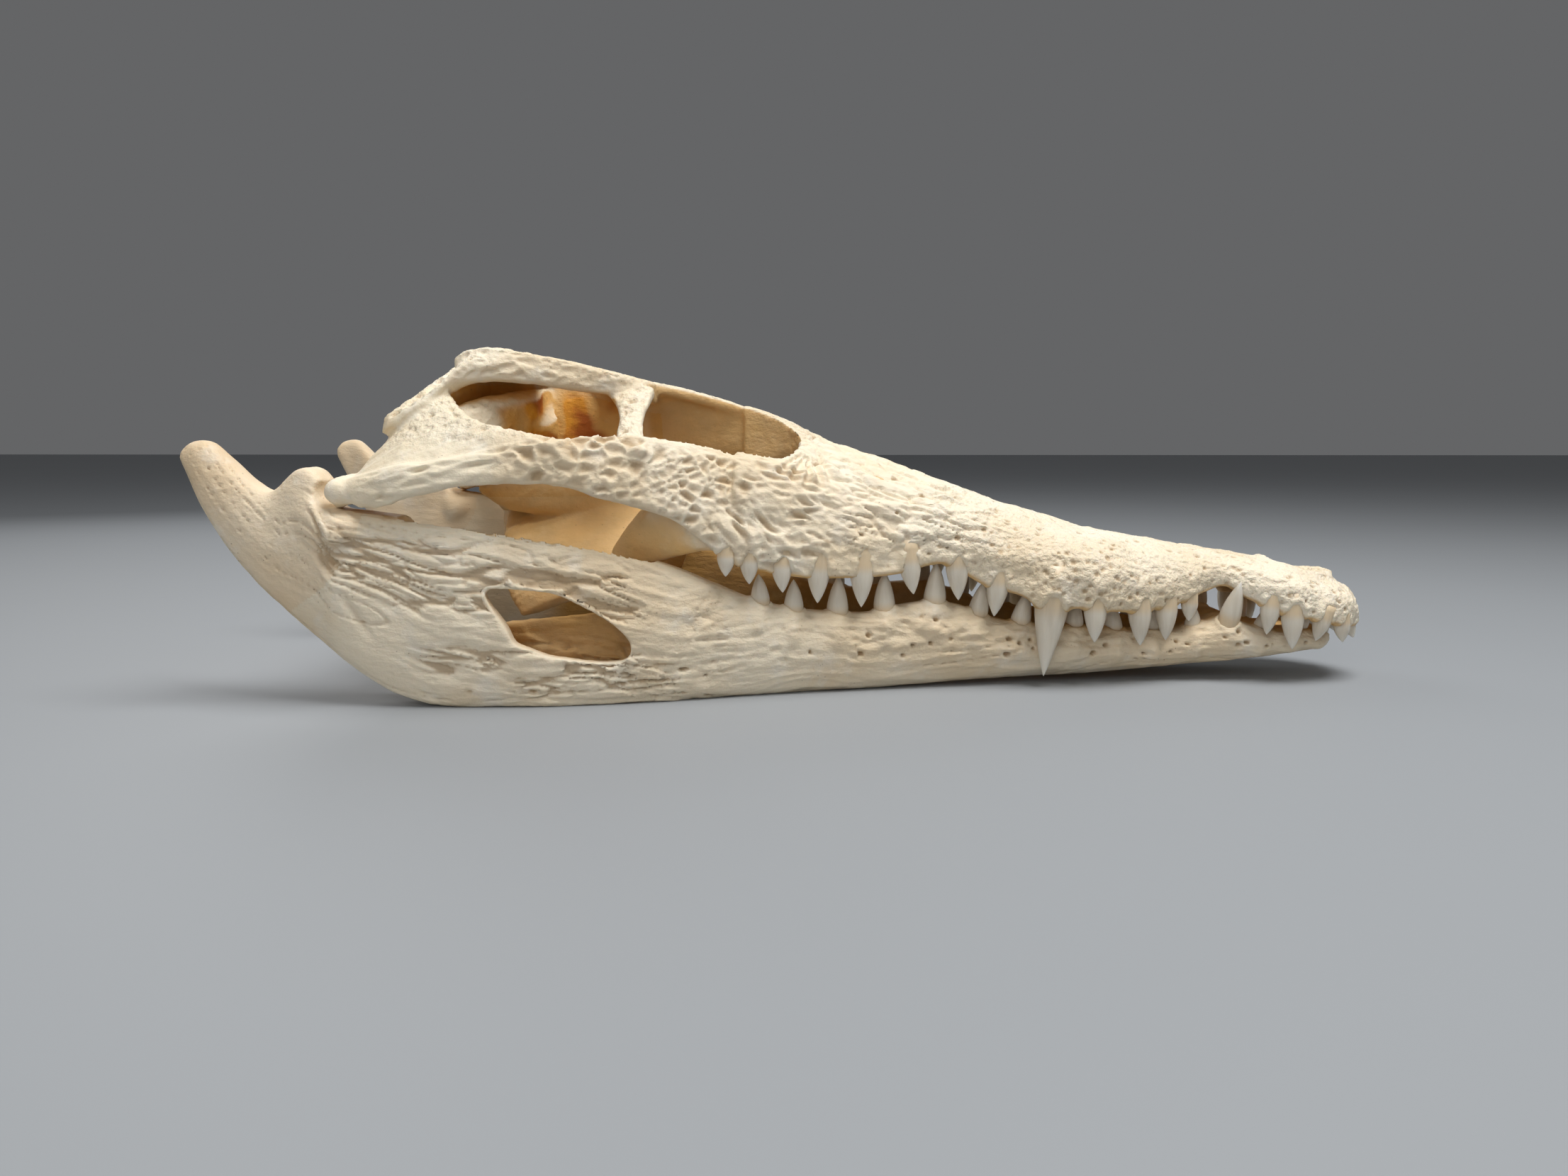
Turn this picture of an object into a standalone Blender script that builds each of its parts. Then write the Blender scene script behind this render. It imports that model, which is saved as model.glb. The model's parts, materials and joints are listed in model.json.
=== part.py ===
"""A crocodile skull with its lower jaw closed, resting on the lower jaw.

Lengths are millimetres in the tables below and are turned to metres by MM.
X runs to the tip of the snout, Y to the left side of the animal, Z up from the floor.
Each bone is a few lofts along X or along its own path, fused and smoothed,
then opened by cutters, given its teeth and parted at its seams.
"""

import math
import random

import bmesh
import bpy
import numpy as np
from mathutils import Matrix, Vector

MM = 0.001

# How fine the fused form is, and how many triangles each half of the skull keeps.
VOXEL = 1.5
CRANIUM_FACES = 5600
RAMUS_FACES = 1800
SEAM = 0.34
FLAT_ANGLE = 1.0

# Middle line of the top of the skull, from the snout tip to the back: x, z.
TOP = ((213, 24), (210.5, 31.8), (206, 36), (197, 39.9), (184, 43.6), (169.5, 46.2),
       (140, 51.2), (110, 56.5), (80.3, 65), (50.5, 75.5), (20.7, 85.8), (5, 91), (-6, 97.4),
       (-16, 101.4), (-26.6, 104.6), (-37.3, 107.8), (-48, 110.4), (-58.7, 112.2), (-66, 114.2),
       (-77.5, 117.2), (-91, 120), (-104, 122.2), (-113, 123.3), (-119, 122.4), (-124, 120))
# Lower rim of the upper jaw: x, z.
RIM = ((213, 24), (209, 20.5), (204, 20.5), (198, 22.1), (180, 26), (168, 30), (162, 33),
       (156, 36.4), (149, 34.4), (142, 31.8), (134, 29.6), (121, 28), (106, 29.2), (98, 30),
       (91, 28.4), (85, 29.4), (79, 34), (72, 36), (65, 38), (57, 42.4), (49, 46.4), (41, 45.2),
       (32, 42.8), (20, 42), (5, 42.2), (-7.6, 43.8), (-26, 48.4))
# Half width of the snout: x, y.
SNOUT_WIDTH = ((213, 0.5), (211, 7.5), (208, 12.2), (203, 17.2), (198, 20.6), (190, 24),
               (180, 26.2), (168, 24.5), (160, 20.6), (154, 19.6), (148, 21.2), (140, 24),
               (125, 30), (110, 35.5), (100, 37), (90, 36.8), (75, 36.2), (60, 37), (42, 40),
               (20, 46), (0, 51.8), (-12, 54.8), (-24, 57.8))
# Half width of the frontal bar between the orbits, and the lowest line of its keel.
FRONTAL_WIDTH = ((22, 30), (10, 22), (0, 17), (-15, 13.5), (-30, 12.5), (-45, 14.5), (-55, 20),
                 (-62, 30), (-66, 35))
FRONTAL_KEEL = ((22, 74), (0, 80), (-30, 84), (-50, 85.5), (-66, 87))
# Half width of that keel, wide where it leaves the snout.
KEEL_WIDTH = ((22, 12), (-22, 11.8), (-30, 9.8), (-38, 6.6), (-46, 4.4), (-56, 3.5), (-66, 3.5))
# The flat skull table: half width.
TABLE_WIDTH = ((-56, 26), (-60, 33.5), (-66, 36.5), (-80, 39.5), (-100, 43.5), (-112, 45),
               (-119, 44.5), (-124, 43))
TABLE_THICK = 8.5
# Braincase under the table: half width, lowest line.
BRAIN_WIDTH = ((-58, 7), (-66, 10), (-80, 12.5), (-95, 16), (-110, 20), (-127, 22))
BRAIN_BASE = ((-58, 96), (-70, 86), (-85, 79), (-92, 66), (-100, 62), (-115, 64), (-127, 80))
# Cheek arch, jugal and quadratojugal: outer half width, upper edge, lower edge, thickness.
ARCH_OUT = ((22, 45), (8, 49), (0, 51.8), (-8, 54.2), (-24, 58.8), (-34, 61.5), (-44, 64.5),
            (-54, 67.5), (-62, 70), (-71, 72.5), (-84, 75), (-99, 77), (-112, 78.5),
            (-125, 79.2), (-140, 77.6), (-152, 74.6))
ARCH_TOP = ((22, 68), (8, 77), (-7.6, 83.6), (-23, 88), (-44, 90.6), (-61, 91.8), (-84, 90.4),
            (-99, 88.2), (-119, 84.5), (-134, 82.5), (-152, 78))
ARCH_BASE = ((22, 44), (8, 44.6), (-7.6, 45.6), (-26, 49.4), (-34, 54.6), (-45, 63.4), (-56, 67.6),
             (-69, 71), (-78, 74.4), (-87, 75.9), (-98, 76), (-110, 75.4), (-121, 73.6), (-134, 70.4),
             (-140, 68.4), (-147, 68), (-153, 70.6))
ARCH_THICK = ((22, 12), (0, 12), (-26, 12), (-36, 9.5), (-50, 8), (-70, 7), (-100, 6.2),
              (-130, 7), (-152, 8))
ARCH_LEAN = ((22, 8), (0, 9.5), (-24, 7.5), (-50, 4.5), (-84, 2), (-152, 1))
# Quadrate plate, from the cheek arch up and in to the squamosal: x, low y, low z, high y, high z.
QUADRATE = ((-76, 72.5, 85, 72, 87), (-84, 74, 85, 72.6, 89.8), (-95, 75.2, 84, 70.8, 92.6),
            (-105, 76, 82, 67, 94.8), (-113, 76.5, 80, 62.6, 97.4), (-119, 77, 79, 57, 101),
            (-125, 77.2, 78, 50, 106), (-132, 77, 77, 49.4, 104.4), (-140, 76, 75.5, 52.5, 96),
            (-148, 74, 73.8, 55.5, 86.5), (-154, 72, 73, 57, 78.5), (-158, 69.5, 72.4, 60, 74.5))
QUADRATE_THICK = 7.0
# Lower jaw: outer half width, thickness, upper edge, lower edge.
JAW_OUT = ((201, 6), (198, 11.5), (194, 15), (190, 17), (180, 19.5), (170, 20.4), (158, 21.8),
           (148, 21.2), (135, 22.5), (120, 24.5), (105, 27.5), (90, 30), (75, 32.5), (60, 35.5),
           (45, 38.5), (30, 42), (15, 45.5), (0, 49.5), (-20, 55.5), (-40, 62.5), (-60, 68.5),
           (-80, 73), (-100, 75.5), (-120, 76.5), (-140, 76.5), (-155, 76), (-165, 74),
           (-180, 71), (-195, 69.5), (-204, 69), (-212, 66.5))
JAW_THICK = ((201, 5.8), (194, 14.8), (180, 19.3), (158, 21.6), (149, 21), (142, 18), (120, 14),
             (90, 13), (30, 13.5), (-20, 14), (-45, 15), (-60, 16), (-80, 20), (-100, 23),
             (-120, 24), (-140, 24), (-165, 21), (-180, 15.5), (-195, 13), (-212, 8))
JAW_ROLL = ((201, 1.6), (190, 4.6), (150, 6), (40, 5), (-20, 4.4), (-60, 3.6), (-130, 4), (-160, 5),
            (-175, 3.2), (-212, 1.6))
JAW_TOP = ((201, 16), (197, 18.6), (186, 19.6), (174, 19.6), (165, 22.5), (158, 25), (149.5, 22.3),
           (138, 19.6), (123, 20), (95, 22.3), (77.6, 23.5), (66, 26.2), (57, 30), (45.6, 32),
           (34, 30.9), (20, 28.4), (6, 29.5), (-7.6, 31.5), (-21, 35.7), (-34, 41.7), (-47, 47.5),
           (-65, 53.2), (-85, 57.3), (-110, 61.3), (-136, 64.6), (-150, 66.4), (-157, 67.5),
           (-161, 74), (-164, 79.5), (-168, 81.4), (-172, 80.4), (-177, 76), (-182, 73), (-188, 76.4),
           (-196, 84), (-204, 90.6), (-209, 90), (-212, 87))
JAW_BASE = ((201, 12.6), (199, 11.6), (186, 10.2), (171, 8.2), (140, 5.1), (109, 3.1), (79, 2.3),
            (49, 1.3), (20, 0.3), (0, 0), (-112, 0), (-124, 0.6), (-137, 3.6), (-156, 14.5),
            (-170, 26), (-186, 40.3), (-197, 53.5), (-205, 67), (-212, 83))
# Opening in the side of the lower jaw: x, z round its edge.
JAW_WINDOW = ((-106.6, 38.6), (-105.2, 41.2), (-102, 41.4), (-93, 40.6), (-84, 39.4), (-74.5, 34.8),
              (-65, 28.6), (-59.6, 22.2), (-60.6, 16.6), (-69, 15.6), (-85, 18), (-92, 20.6),
              (-97.4, 23), (-100.2, 28.8))
# Thickness of the outer wall of the lower jaw beside that opening.
FOSSA_WALL = 4.4
# Orbit seen from above: x, y round its edge.
ORBIT = ((-2.4, 30), (-5, 23), (-11, 18), (-21, 14.8), (-31, 13.4), (-42, 14.8), (-50, 19), (-54, 26),
         (-55.4, 35), (-56, 45), (-55, 53), (-51, 57.6), (-43, 56), (-32, 52.4), (-21, 49.4), (-10, 45.6),
         (-4, 39))

# Teeth of one side. Base x, base z, length past the bone, lean of the tip along X.
UPPER_TEETH = ((-27.3, 50.2, 6.3, 0), (-19.5, 48.8, 7.8, 0), (-8.5, 47, 9.6, 0), (4.3, 46, 13, -0.5),
               (19.8, 45.4, 14, 0.2), (37, 47.4, 12.4, 0.8), (54.5, 45.6, 13, 0.7),
               (69.3, 39.2, 12.6, -1), (88.6, 31.2, 27.4, -2.6), (104.7, 30, 12.6, 0),
               (122.2, 28.6, 13.2, 0.5), (133.1, 28.8, 11.8, 0.3), (142.5, 29.5, 6, 0),
               (171.6, 29.5, 10.5, -1.5), (179.6, 26.5, 13, 0.3), (191, 24, 7.5, -2.2),
               (200.5, 21.5, 6.4, 0.5), (207, 20.8, 5.6, 1.6))
LOWER_TEETH = ((-16.1, 34, 8.8, -0.4), (-4.4, 31, 9, 0), (11.3, 29, 12, 0), (28.4, 30, 11.6, -0.5),
               (46.8, 31.8, 13.4, 1.2), (63, 27.4, 10.8, 2), (79, 23.4, 10.6, 3),
               (99.8, 22, 8.6, 0.5), (115.4, 20.4, 9.2, -1), (130, 19.7, 8.4, 0),
               (146.1, 21, 6.5, 0.3), (158, 24.5, 12, 2.6), (172, 19.8, 8, 3.4),
               (186, 19.5, 6.6, 5), (196, 17.5, 6, 4))
ROOT = 7.0
TOOTH_SIDES = 5

IVORY = (0.72, 0.63, 0.47)
PALE = (0.76, 0.69, 0.55)
AMBER = (0.66, 0.5, 0.29)
YELLOW = (0.7, 0.56, 0.34)

random.seed(11)


def through(stations):
    """A smooth line through stations that never swings past them."""
    points = sorted(stations)
    xs = np.array([p[0] for p in points], float)
    vs = np.array([p[1] for p in points], float)
    steps = np.diff(xs)
    slopes = np.diff(vs) / steps
    tangents = np.zeros(len(xs))
    for i in range(1, len(xs) - 1):
        a, b = slopes[i - 1], slopes[i]
        tangents[i] = 2 * a * b / (a + b) if a * b > 0 else 0.0
    tangents[0], tangents[-1] = slopes[0], slopes[-1]

    def at(x):
        x = min(max(x, xs[0]), xs[-1])
        i = int(min(max(np.searchsorted(xs, x) - 1, 0), len(steps) - 1))
        t = (x - xs[i]) / steps[i]
        rise = (2 * t**3 - 3 * t**2 + 1) * vs[i] + (3 * t**2 - 2 * t**3) * vs[i + 1]
        turn = (t**3 - 2 * t**2 + t) * tangents[i] + (t**3 - t**2) * tangents[i + 1]
        return float(rise + turn * steps[i])

    return at


def sampled(first, last, step):
    """Evenly spaced numbers from first to last, both included."""
    count = max(2, int(round(abs(last - first) / step)) + 1)
    return np.linspace(first, last, count)


def ring_solid(rings):
    """A closed mesh over rings of the same length, as points and faces, capped at both ends."""
    count = len(rings[0])
    points = [tuple(p) for ring in rings for p in ring]
    faces = []
    for r in range(len(rings) - 1):
        for k in range(count):
            a, b = r * count + k, r * count + (k + 1) % count
            faces.append((a, b, b + count, a + count))
    for ring, start, flip in ((rings[0], 0, True), (rings[-1], (len(rings) - 1) * count, False)):
        middle = len(points)
        points.append(tuple(np.mean(ring, axis=0)))
        for k in range(count):
            a, b = start + k, start + (k + 1) % count
            faces.append((b, a, middle) if flip else (a, b, middle))
    return points, faces


def oval(centre, u, v, count=20, power=2.0):
    """A ring round a centre with half axes u and v. A higher power is squarer."""
    centre, u, v = (np.array(p, float) for p in (centre, u, v))
    ring = []
    for k in range(count):
        t = 2 * math.pi * k / count
        c, s = math.cos(t), math.sin(t)
        ring.append(centre + u * math.copysign(abs(c) ** (2 / power), c)
                    + v * math.copysign(abs(s) ** (2 / power), s))
    return ring


def limb(stations, count=20, power=2.0):
    """A solid through ovals, each given as centre, half axis, half axis."""
    return ring_solid([oval(c, u, v, count, power) for c, u, v in stations])


def prism(outline, low, high, axis=1):
    """An outline in two axes, drawn out along the third between low and high."""
    points = []
    for level in (low, high):
        for a, b in outline:
            point = [a, b]
            point.insert(axis, level)
            points.append(tuple(point))
    count = len(outline)
    faces = [tuple(range(count)), tuple(range(count, 2 * count))]
    for k in range(count):
        after = (k + 1) % count
        faces.append((k, after, after + count, k + count))
    return points, faces


def tapered(outline, levels):
    """A plan outline drawn out upwards, shrunk or grown about its middle at each level."""
    middle = np.mean(np.array(outline, float), axis=0)
    rings = []
    for z, share in levels:
        rings.append([(*(middle + (np.array(p) - middle) * share), z) for p in outline])
    return ring_solid(rings)


def blade(line, low, high, axis=1):
    """A cut of one seam's width along a bent line, drawn out along the third axis."""
    left, right = [], []
    for i, (a, b) in enumerate(line):
        before, after = line[max(i - 1, 0)], line[min(i + 1, len(line) - 1)]
        way = Vector((after[0] - before[0], after[1] - before[1])).normalized()
        left.append((a - way.y * SEAM / 2, b + way.x * SEAM / 2))
        right.append((a + way.y * SEAM / 2, b - way.x * SEAM / 2))
    outline = left + right[::-1]
    points, _ = prism(outline, low, high, axis)
    count, total = len(line), len(outline)
    faces = []
    for k in range(count - 1):
        a, b, c, d = k, k + 1, total - 2 - k, total - 1 - k
        faces += [(a, b, c, d), (a + total, b + total, c + total, d + total)]
    for k in range(total):
        after = (k + 1) % total
        faces.append((k, after, after + total, k + total))
    return points, faces


def mirrored(solid):
    """The same solid on the other side of the animal."""
    points, faces = solid
    return [(x, -y, z) for x, y, z in points], [tuple(reversed(f)) for f in faces]


def both(solids):
    """Right and left copies of solids given for one side."""
    return list(solids) + [mirrored(s) for s in solids]


def new_object(name, solids, collection):
    """One object holding every solid, faces turned out."""
    form = bmesh.new()
    for points, faces in solids:
        verts = [form.verts.new(Vector(p) * MM) for p in points]
        for face in faces:
            form.faces.new([verts[i] for i in face])
    bmesh.ops.recalc_face_normals(form, faces=form.faces)
    bmesh.ops.triangulate(form, faces=form.faces)
    mesh = bpy.data.meshes.new(name)
    form.to_mesh(mesh)
    form.free()
    obj = bpy.data.objects.new(name, mesh)
    collection.objects.link(obj)
    return obj


def settle(obj):
    """Makes the result of the modifiers the object's own mesh."""
    bpy.context.view_layer.update()
    graph = bpy.context.evaluated_depsgraph_get()
    mesh = bpy.data.meshes.new_from_object(obj.evaluated_get(graph))
    obj.modifiers.clear()
    obj.data = mesh


def fuse(obj, voxel, rounds):
    """Overlapping forms become one skin, and its edges are eased."""
    remesh = obj.modifiers.new("Fuse", "REMESH")
    remesh.mode = "VOXEL"
    remesh.voxel_size = voxel * MM
    remesh.adaptivity = 0
    ease = obj.modifiers.new("Ease", "SMOOTH")
    ease.factor = 0.5
    ease.iterations = rounds
    settle(obj)


def combine(obj, other, operation, solver="MANIFOLD"):
    """A Boolean with another object, settled at once."""
    boolean = obj.modifiers.new(operation.title(), "BOOLEAN")
    boolean.operation = operation
    boolean.solver = solver
    boolean.object = other
    settle(obj)


def mirror_mesh(mesh):
    """Turns a mesh into its own mirror image across the middle plane."""
    form = bmesh.new()
    form.from_mesh(mesh)
    for vert in form.verts:
        vert.co.y = -vert.co.y
    bmesh.ops.reverse_faces(form, faces=form.faces)
    form.to_mesh(mesh)
    form.free()


def tidy(mesh):
    """Joins faces that lie in one plane, then makes triangles again, if it stays closed."""
    for sliver in (0.02, 0.0):
        form = bmesh.new()
        form.from_mesh(mesh)
        if sliver:
            bmesh.ops.dissolve_degenerate(form, dist=sliver * MM, edges=form.edges)
        bmesh.ops.dissolve_limit(form, angle_limit=math.radians(FLAT_ANGLE), verts=form.verts,
                                 edges=form.edges)
        bmesh.ops.triangulate(form, faces=form.faces)
        closed = all(len(edge.link_faces) == 2 for edge in form.edges)
        if closed:
            form.to_mesh(mesh)
        form.free()
        if closed:
            return


def thin_out(obj, faces):
    """Fewer triangles for the same form."""
    obj.data.calc_loop_triangles()
    now = len(obj.data.loop_triangles)
    triangles = obj.modifiers.new("Triangles", "TRIANGULATE")
    triangles.keep_custom_normals = False
    fewer = obj.modifiers.new("Fewer", "DECIMATE")
    fewer.ratio = min(1.0, faces / now)
    settle(obj)


def surfaces_of(form):
    """The vertices of each separate surface of a mesh."""
    form.verts.index_update()
    form.faces.index_update()
    seen, found = set(), []
    for start in form.verts:
        if start.index in seen:
            continue
        seen.add(start.index)
        island, queue = [start], [start]
        while queue:
            for edge in queue.pop().link_edges:
                for vert in edge.verts:
                    if vert.index not in seen:
                        seen.add(vert.index)
                        island.append(vert)
                        queue.append(vert)
        found.append(island)
    return found


def keep_largest(obj):
    """Drops every separate surface but the largest."""
    form = bmesh.new()
    form.from_mesh(obj.data)
    kept = set(max(surfaces_of(form), key=len))
    bmesh.ops.delete(form, geom=[v for v in form.verts if v not in kept], context="VERTS")
    form.to_mesh(obj.data)
    form.free()


def material(name, colour, roughness=0.5):
    """A plain bone or tooth material."""
    made = bpy.data.materials.new(name)
    made.use_nodes = True
    shader = made.node_tree.nodes["Principled BSDF"]
    shader.inputs["Base Color"].default_value = (*colour, 1)
    shader.inputs["Roughness"].default_value = roughness
    shader.inputs["Metallic"].default_value = 0.0
    made.diffuse_color = (*colour, 1)
    return made


def snout():
    """Premaxillae, maxillae and nasals as one loft with a hollowed palate."""
    top, rim, width = through(TOP), through(RIM), through(SNOUT_WIDTH)
    rings = []
    for x in list(sampled(-24, 196, 4)) + [199, 202, 205, 207.5, 209.5, 211, 212, 213]:
        w, zt, zb = width(x), top(x), rim(x)
        if x > 212.5:
            zt, zb = 28.5, 23.5
        shoulder = zb + (zt - zb) * 0.34
        lift = min(4.0, w * 0.22)
        palate = min(zb + lift, zt - 3)
        lip = min(8.5, w * 0.42)
        half = []
        for k in range(13):
            t = math.pi / 2 * k / 12
            half.append((w * math.cos(t) ** 0.86, shoulder + (zt - shoulder) * math.sin(t) ** 0.93))
        low = [(w * 0.2, palate), (w - lip, palate), (w - lip * 0.75, zb + lift * 0.35),
               (w - lip * 0.5, zb), (w - lip * 0.14, zb), (w - 0.1, zb + (shoulder - zb) * 0.2)]
        right = low + half[:-1]
        ring = [(x, y, z) for y, z in right] + [(x, 0, zt)]
        ring += [(x, -y, z) for y, z in reversed(right)] + [(x, 0, palate)]
        rings.append(ring)
    return ring_solid(rings)


def frontal():
    """The bar between the orbits, with raised rims and a keel below."""
    top, width, keel = through(TOP), through(FRONTAL_WIDTH), through(FRONTAL_KEEL)
    flare = through(KEEL_WIDTH)
    rings = []
    for x in sampled(10, -66, 4):
        w, zt, zk = width(x), top(x), keel(x)
        low = min(flare(x), w - 1.6)
        half = [(low, zk), (max(low + 0.4, w * 0.62), zt - 7), (w - 0.8, zt - 4.8), (w, zt - 2.2),
                (w - 1.2, zt - 0.2), (w * 0.6, zt - 0.8)]
        ring = [(x, y, z) for y, z in half] + [(x, 0, zt - 1.8)]
        ring += [(x, -y, z) for y, z in reversed(half)] + [(x, 0, zk - 1)]
        rings.append(ring)
    return ring_solid(rings)


def skull_table():
    """The flat roof behind the orbits."""
    top, width = through(TOP), through(TABLE_WIDTH)
    rings = []
    for x in sampled(-56, -124, 4):
        w, zt = width(x), top(x)
        half = [(w * 0.5, zt - TABLE_THICK), (w - 3, zt - TABLE_THICK), (w - 0.4, zt - 6), (w, zt - 3),
                (w - 1.4, zt - 0.4), (w * 0.6, zt - 0.6)]
        ring = [(x, y, z) for y, z in half] + [(x, 0, zt)]
        ring += [(x, -y, z) for y, z in reversed(half)] + [(x, 0, zt - TABLE_THICK)]
        rings.append(ring)
    return ring_solid(rings)


def squamosal():
    """The hind corner of the table and the strip that runs down behind it."""
    return limb((((-67, 34.2, 108.4), (0, 2, 0), (0, 0, 2.2)),
                 ((-76, 35.8, 110), (0, 2.8, 0), (0, 0, 3.1)),
                 ((-84, 37.5, 111.5), (0, 3.5, 0), (0, 0, 3.8)),
                 ((-100, 41, 114.5), (0, 4, 0), (0, 0, 4.4)),
                 ((-114, 43.5, 115.5), (0, 4.6, 0), (1, 0, 5.2)),
                 ((-122.5, 45.5, 112.2), (0, 5, 0), (2.2, 0, 5.6)),
                 ((-130.5, 49, 104.6), (1, 5, 0), (4.4, 0, 6)),
                 ((-138.8, 52.2, 98.8), (1, 4.4, 0), (4.2, 0, 5.2)),
                 ((-145.5, 54, 95.5), (1, 3, 0), (2, 0, 3.4))))


def braincase():
    """The wall under the table, narrow in front and wide behind."""
    top, width, base = through(TOP), through(BRAIN_WIDTH), through(BRAIN_BASE)
    rings = []
    for x in sampled(-58, -127, 4):
        w, zt, zb = width(x), top(x) - 3, base(x)
        rings.append(oval((x, 0, (zt + zb) / 2), (0, w, 0), (0, 0, (zt - zb) / 2), 20, 2.6))
    return ring_solid(rings)


def occiput():
    """The upright plate at the back, out to the tip beside the quadrate."""
    sections = ((0, -121, 107.5, 5.2, 13.5), (12, -122, 107, 5, 13.5), (24, -124.5, 106.5, 4.6, 12.5),
                (34, -127.5, 104.6, 4.4, 11.2), (42, -132, 101.2, 4.2, 9.2),
                (49, -138, 98, 4, 6.6), (54, -143.5, 95.4, 3.4, 4))
    return limb([((x, y, z), (a, 0, 0), (0, 0, b)) for y, x, z, a, b in sections], 16, 2.4)


def condyle_and_tubera():
    """The knob that meets the neck and the low bosses under it."""
    return [limb((((-118, 0, 92), (0, 9, 0), (0, 0, 6.5)), ((-124, 0, 91.5), (0, 6, 0), (0, 0, 5.5)),
                  ((-129, 0, 91), (0, 5.6, 0), (0, 0, 5.2)), ((-131.5, 0, 91), (0, 3, 0), (0, 0, 3)))),
            limb((((-112, 0, 88), (0, 17, 0), (6, 0, 0)), ((-116, 0, 78), (0, 14, 0), (6, 0, 0)),
                  ((-117, 0, 68), (0, 12, 0), (5, 0, 0)), ((-117, 0, 63), (0, 8, 0), (3, 0, 0))), 18, 2.4)]


def postorbital_bar():
    """The flat upright between the orbit and the opening behind it."""
    return limb([((x, y, z), (a, 0, 0), (0, 0.55 * b, 0.83 * b)) for x, y, z, a, b in (
        (-63, 31, 108, 10, 3), (-62, 38.5, 103, 6.4, 2.8), (-61, 46, 98.2, 4.6, 2.7),
        (-60.3, 53, 93.6, 4.6, 2.7), (-59.6, 59.5, 89, 5.4, 3), (-59, 65.5, 85, 7.2, 3.4))], 16, 2.2)


def cheek_arch():
    """Jugal and quadratojugal, from the snout back to the jaw joint."""
    out, top, base = through(ARCH_OUT), through(ARCH_TOP), through(ARCH_BASE)
    thick, lean = through(ARCH_THICK), through(ARCH_LEAN)
    rings = []
    for x in sampled(22, -152, 4):
        t, zt, zb = thick(x), top(x), base(x)
        middle, half = (zt + zb) / 2, (zt - zb) / 2
        rings.append(oval((x, out(x) - t / 2 - lean(x) * 0.35, middle), (0, t / 2, 0),
                          (0, -lean(x) * 0.6, half), 18, 2.8))
    return ring_solid(rings)


def cheek_floor():
    """The hind end of the tooth row, inside the front of the cheek arch."""
    return limb((((30, 39, 52), (0, 5, 0), (0, 0, 6)), ((14, 42, 52), (0, 6, 0), (0, 0, 7)),
                 ((-4, 47.5, 53.5), (0, 6, 0), (0, 0, 8)), ((-20, 52.5, 56.5), (0, 5.8, 0), (0, 0, 8)),
                 ((-30, 55.5, 61), (0, 4.6, 0), (0, 0, 6.5)), ((-38, 58, 67), (0, 3, 0), (0, 0, 4))),
                16, 2.4)


def quadrate():
    """The slanted plate above the jaw joint, its knuckle and its inner limb."""
    rings = []
    for x, y0, z0, y1, z1 in QUADRATE:
        centre = np.array((x, (y0 + y1) / 2, (z0 + z1) / 2))
        along = np.array((0, (y0 - y1) / 2, (z0 - z1) / 2))
        across = np.array((0, -(z0 - z1), (y0 - y1)), float)
        across *= QUADRATE_THICK / 2 / np.linalg.norm(across)
        along *= 1 + 2.2 / np.linalg.norm(along)
        rings.append(oval(centre - across * 0.6, along, across, 18, 2.6))
    knuckle = limb((((-155.5, 75.4, 73.4), (2.5, 0, 0), (0, 0, 2.4)),
                    ((-155.5, 73, 73.2), (4.4, 0, 0), (0, 0, 4.2)),
                    ((-155, 68, 74), (4.8, 0, 0), (0, 0, 4.4)), ((-154, 62, 74), (5, 0, 0), (0, 0, 5)),
                    ((-153, 55, 74), (4.6, 0, 0), (0, 0, 4.6)),
                    ((-152.5, 52, 74.5), (2.6, 0, 0), (0, 0, 2.6))))
    inner = limb((((-150, 62, 77), (2, 3, 0), (0, 0, 5)), ((-142, 56, 80.5), (4, 6, 0), (0, 0, 6.5)),
                  ((-132, 46, 84), (5, 7, 0), (0, 0, 7.5)), ((-120, 32, 86), (5, 7, 0), (0, 0, 8.5)),
                  ((-110, 20, 84), (5, 6, 0), (0, 0, 9)), ((-104, 10, 82), (5, 5, 0), (0, 0, 9))), 16, 2.3)
    wing = limb((((-126, 46, 92), (5, 5, 0), (0, 0, 9)), ((-118, 38, 94), (5, 5, 0), (0, 0, 11)),
                 ((-108, 26, 95), (5, 5, 0), (0, 0, 13)), ((-98, 14, 96), (5, 5, 0), (0, 0, 14))), 16, 2.3)
    return [ring_solid(rings), knuckle, inner, wing]


def palatine_bar():
    """The narrow floor between the two openings of the palate."""
    return limb((((54, 0, 55), (0, 12, 0), (0, 0, 5.5)), ((40, 0, 55), (0, 9, 0), (0, 0, 6)),
                 ((10, 0, 56), (0, 8, 0), (0, 0, 6)), ((-25, 0, 57), (0, 8, 0), (0, 0, 6)),
                 ((-48, 0, 58.5), (0, 9.5, 0), (0, 0, 6)),
                 ((-62, 0, 60), (0, 13, 0), (0, 0, 6.5))), 20, 2.6)


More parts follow.
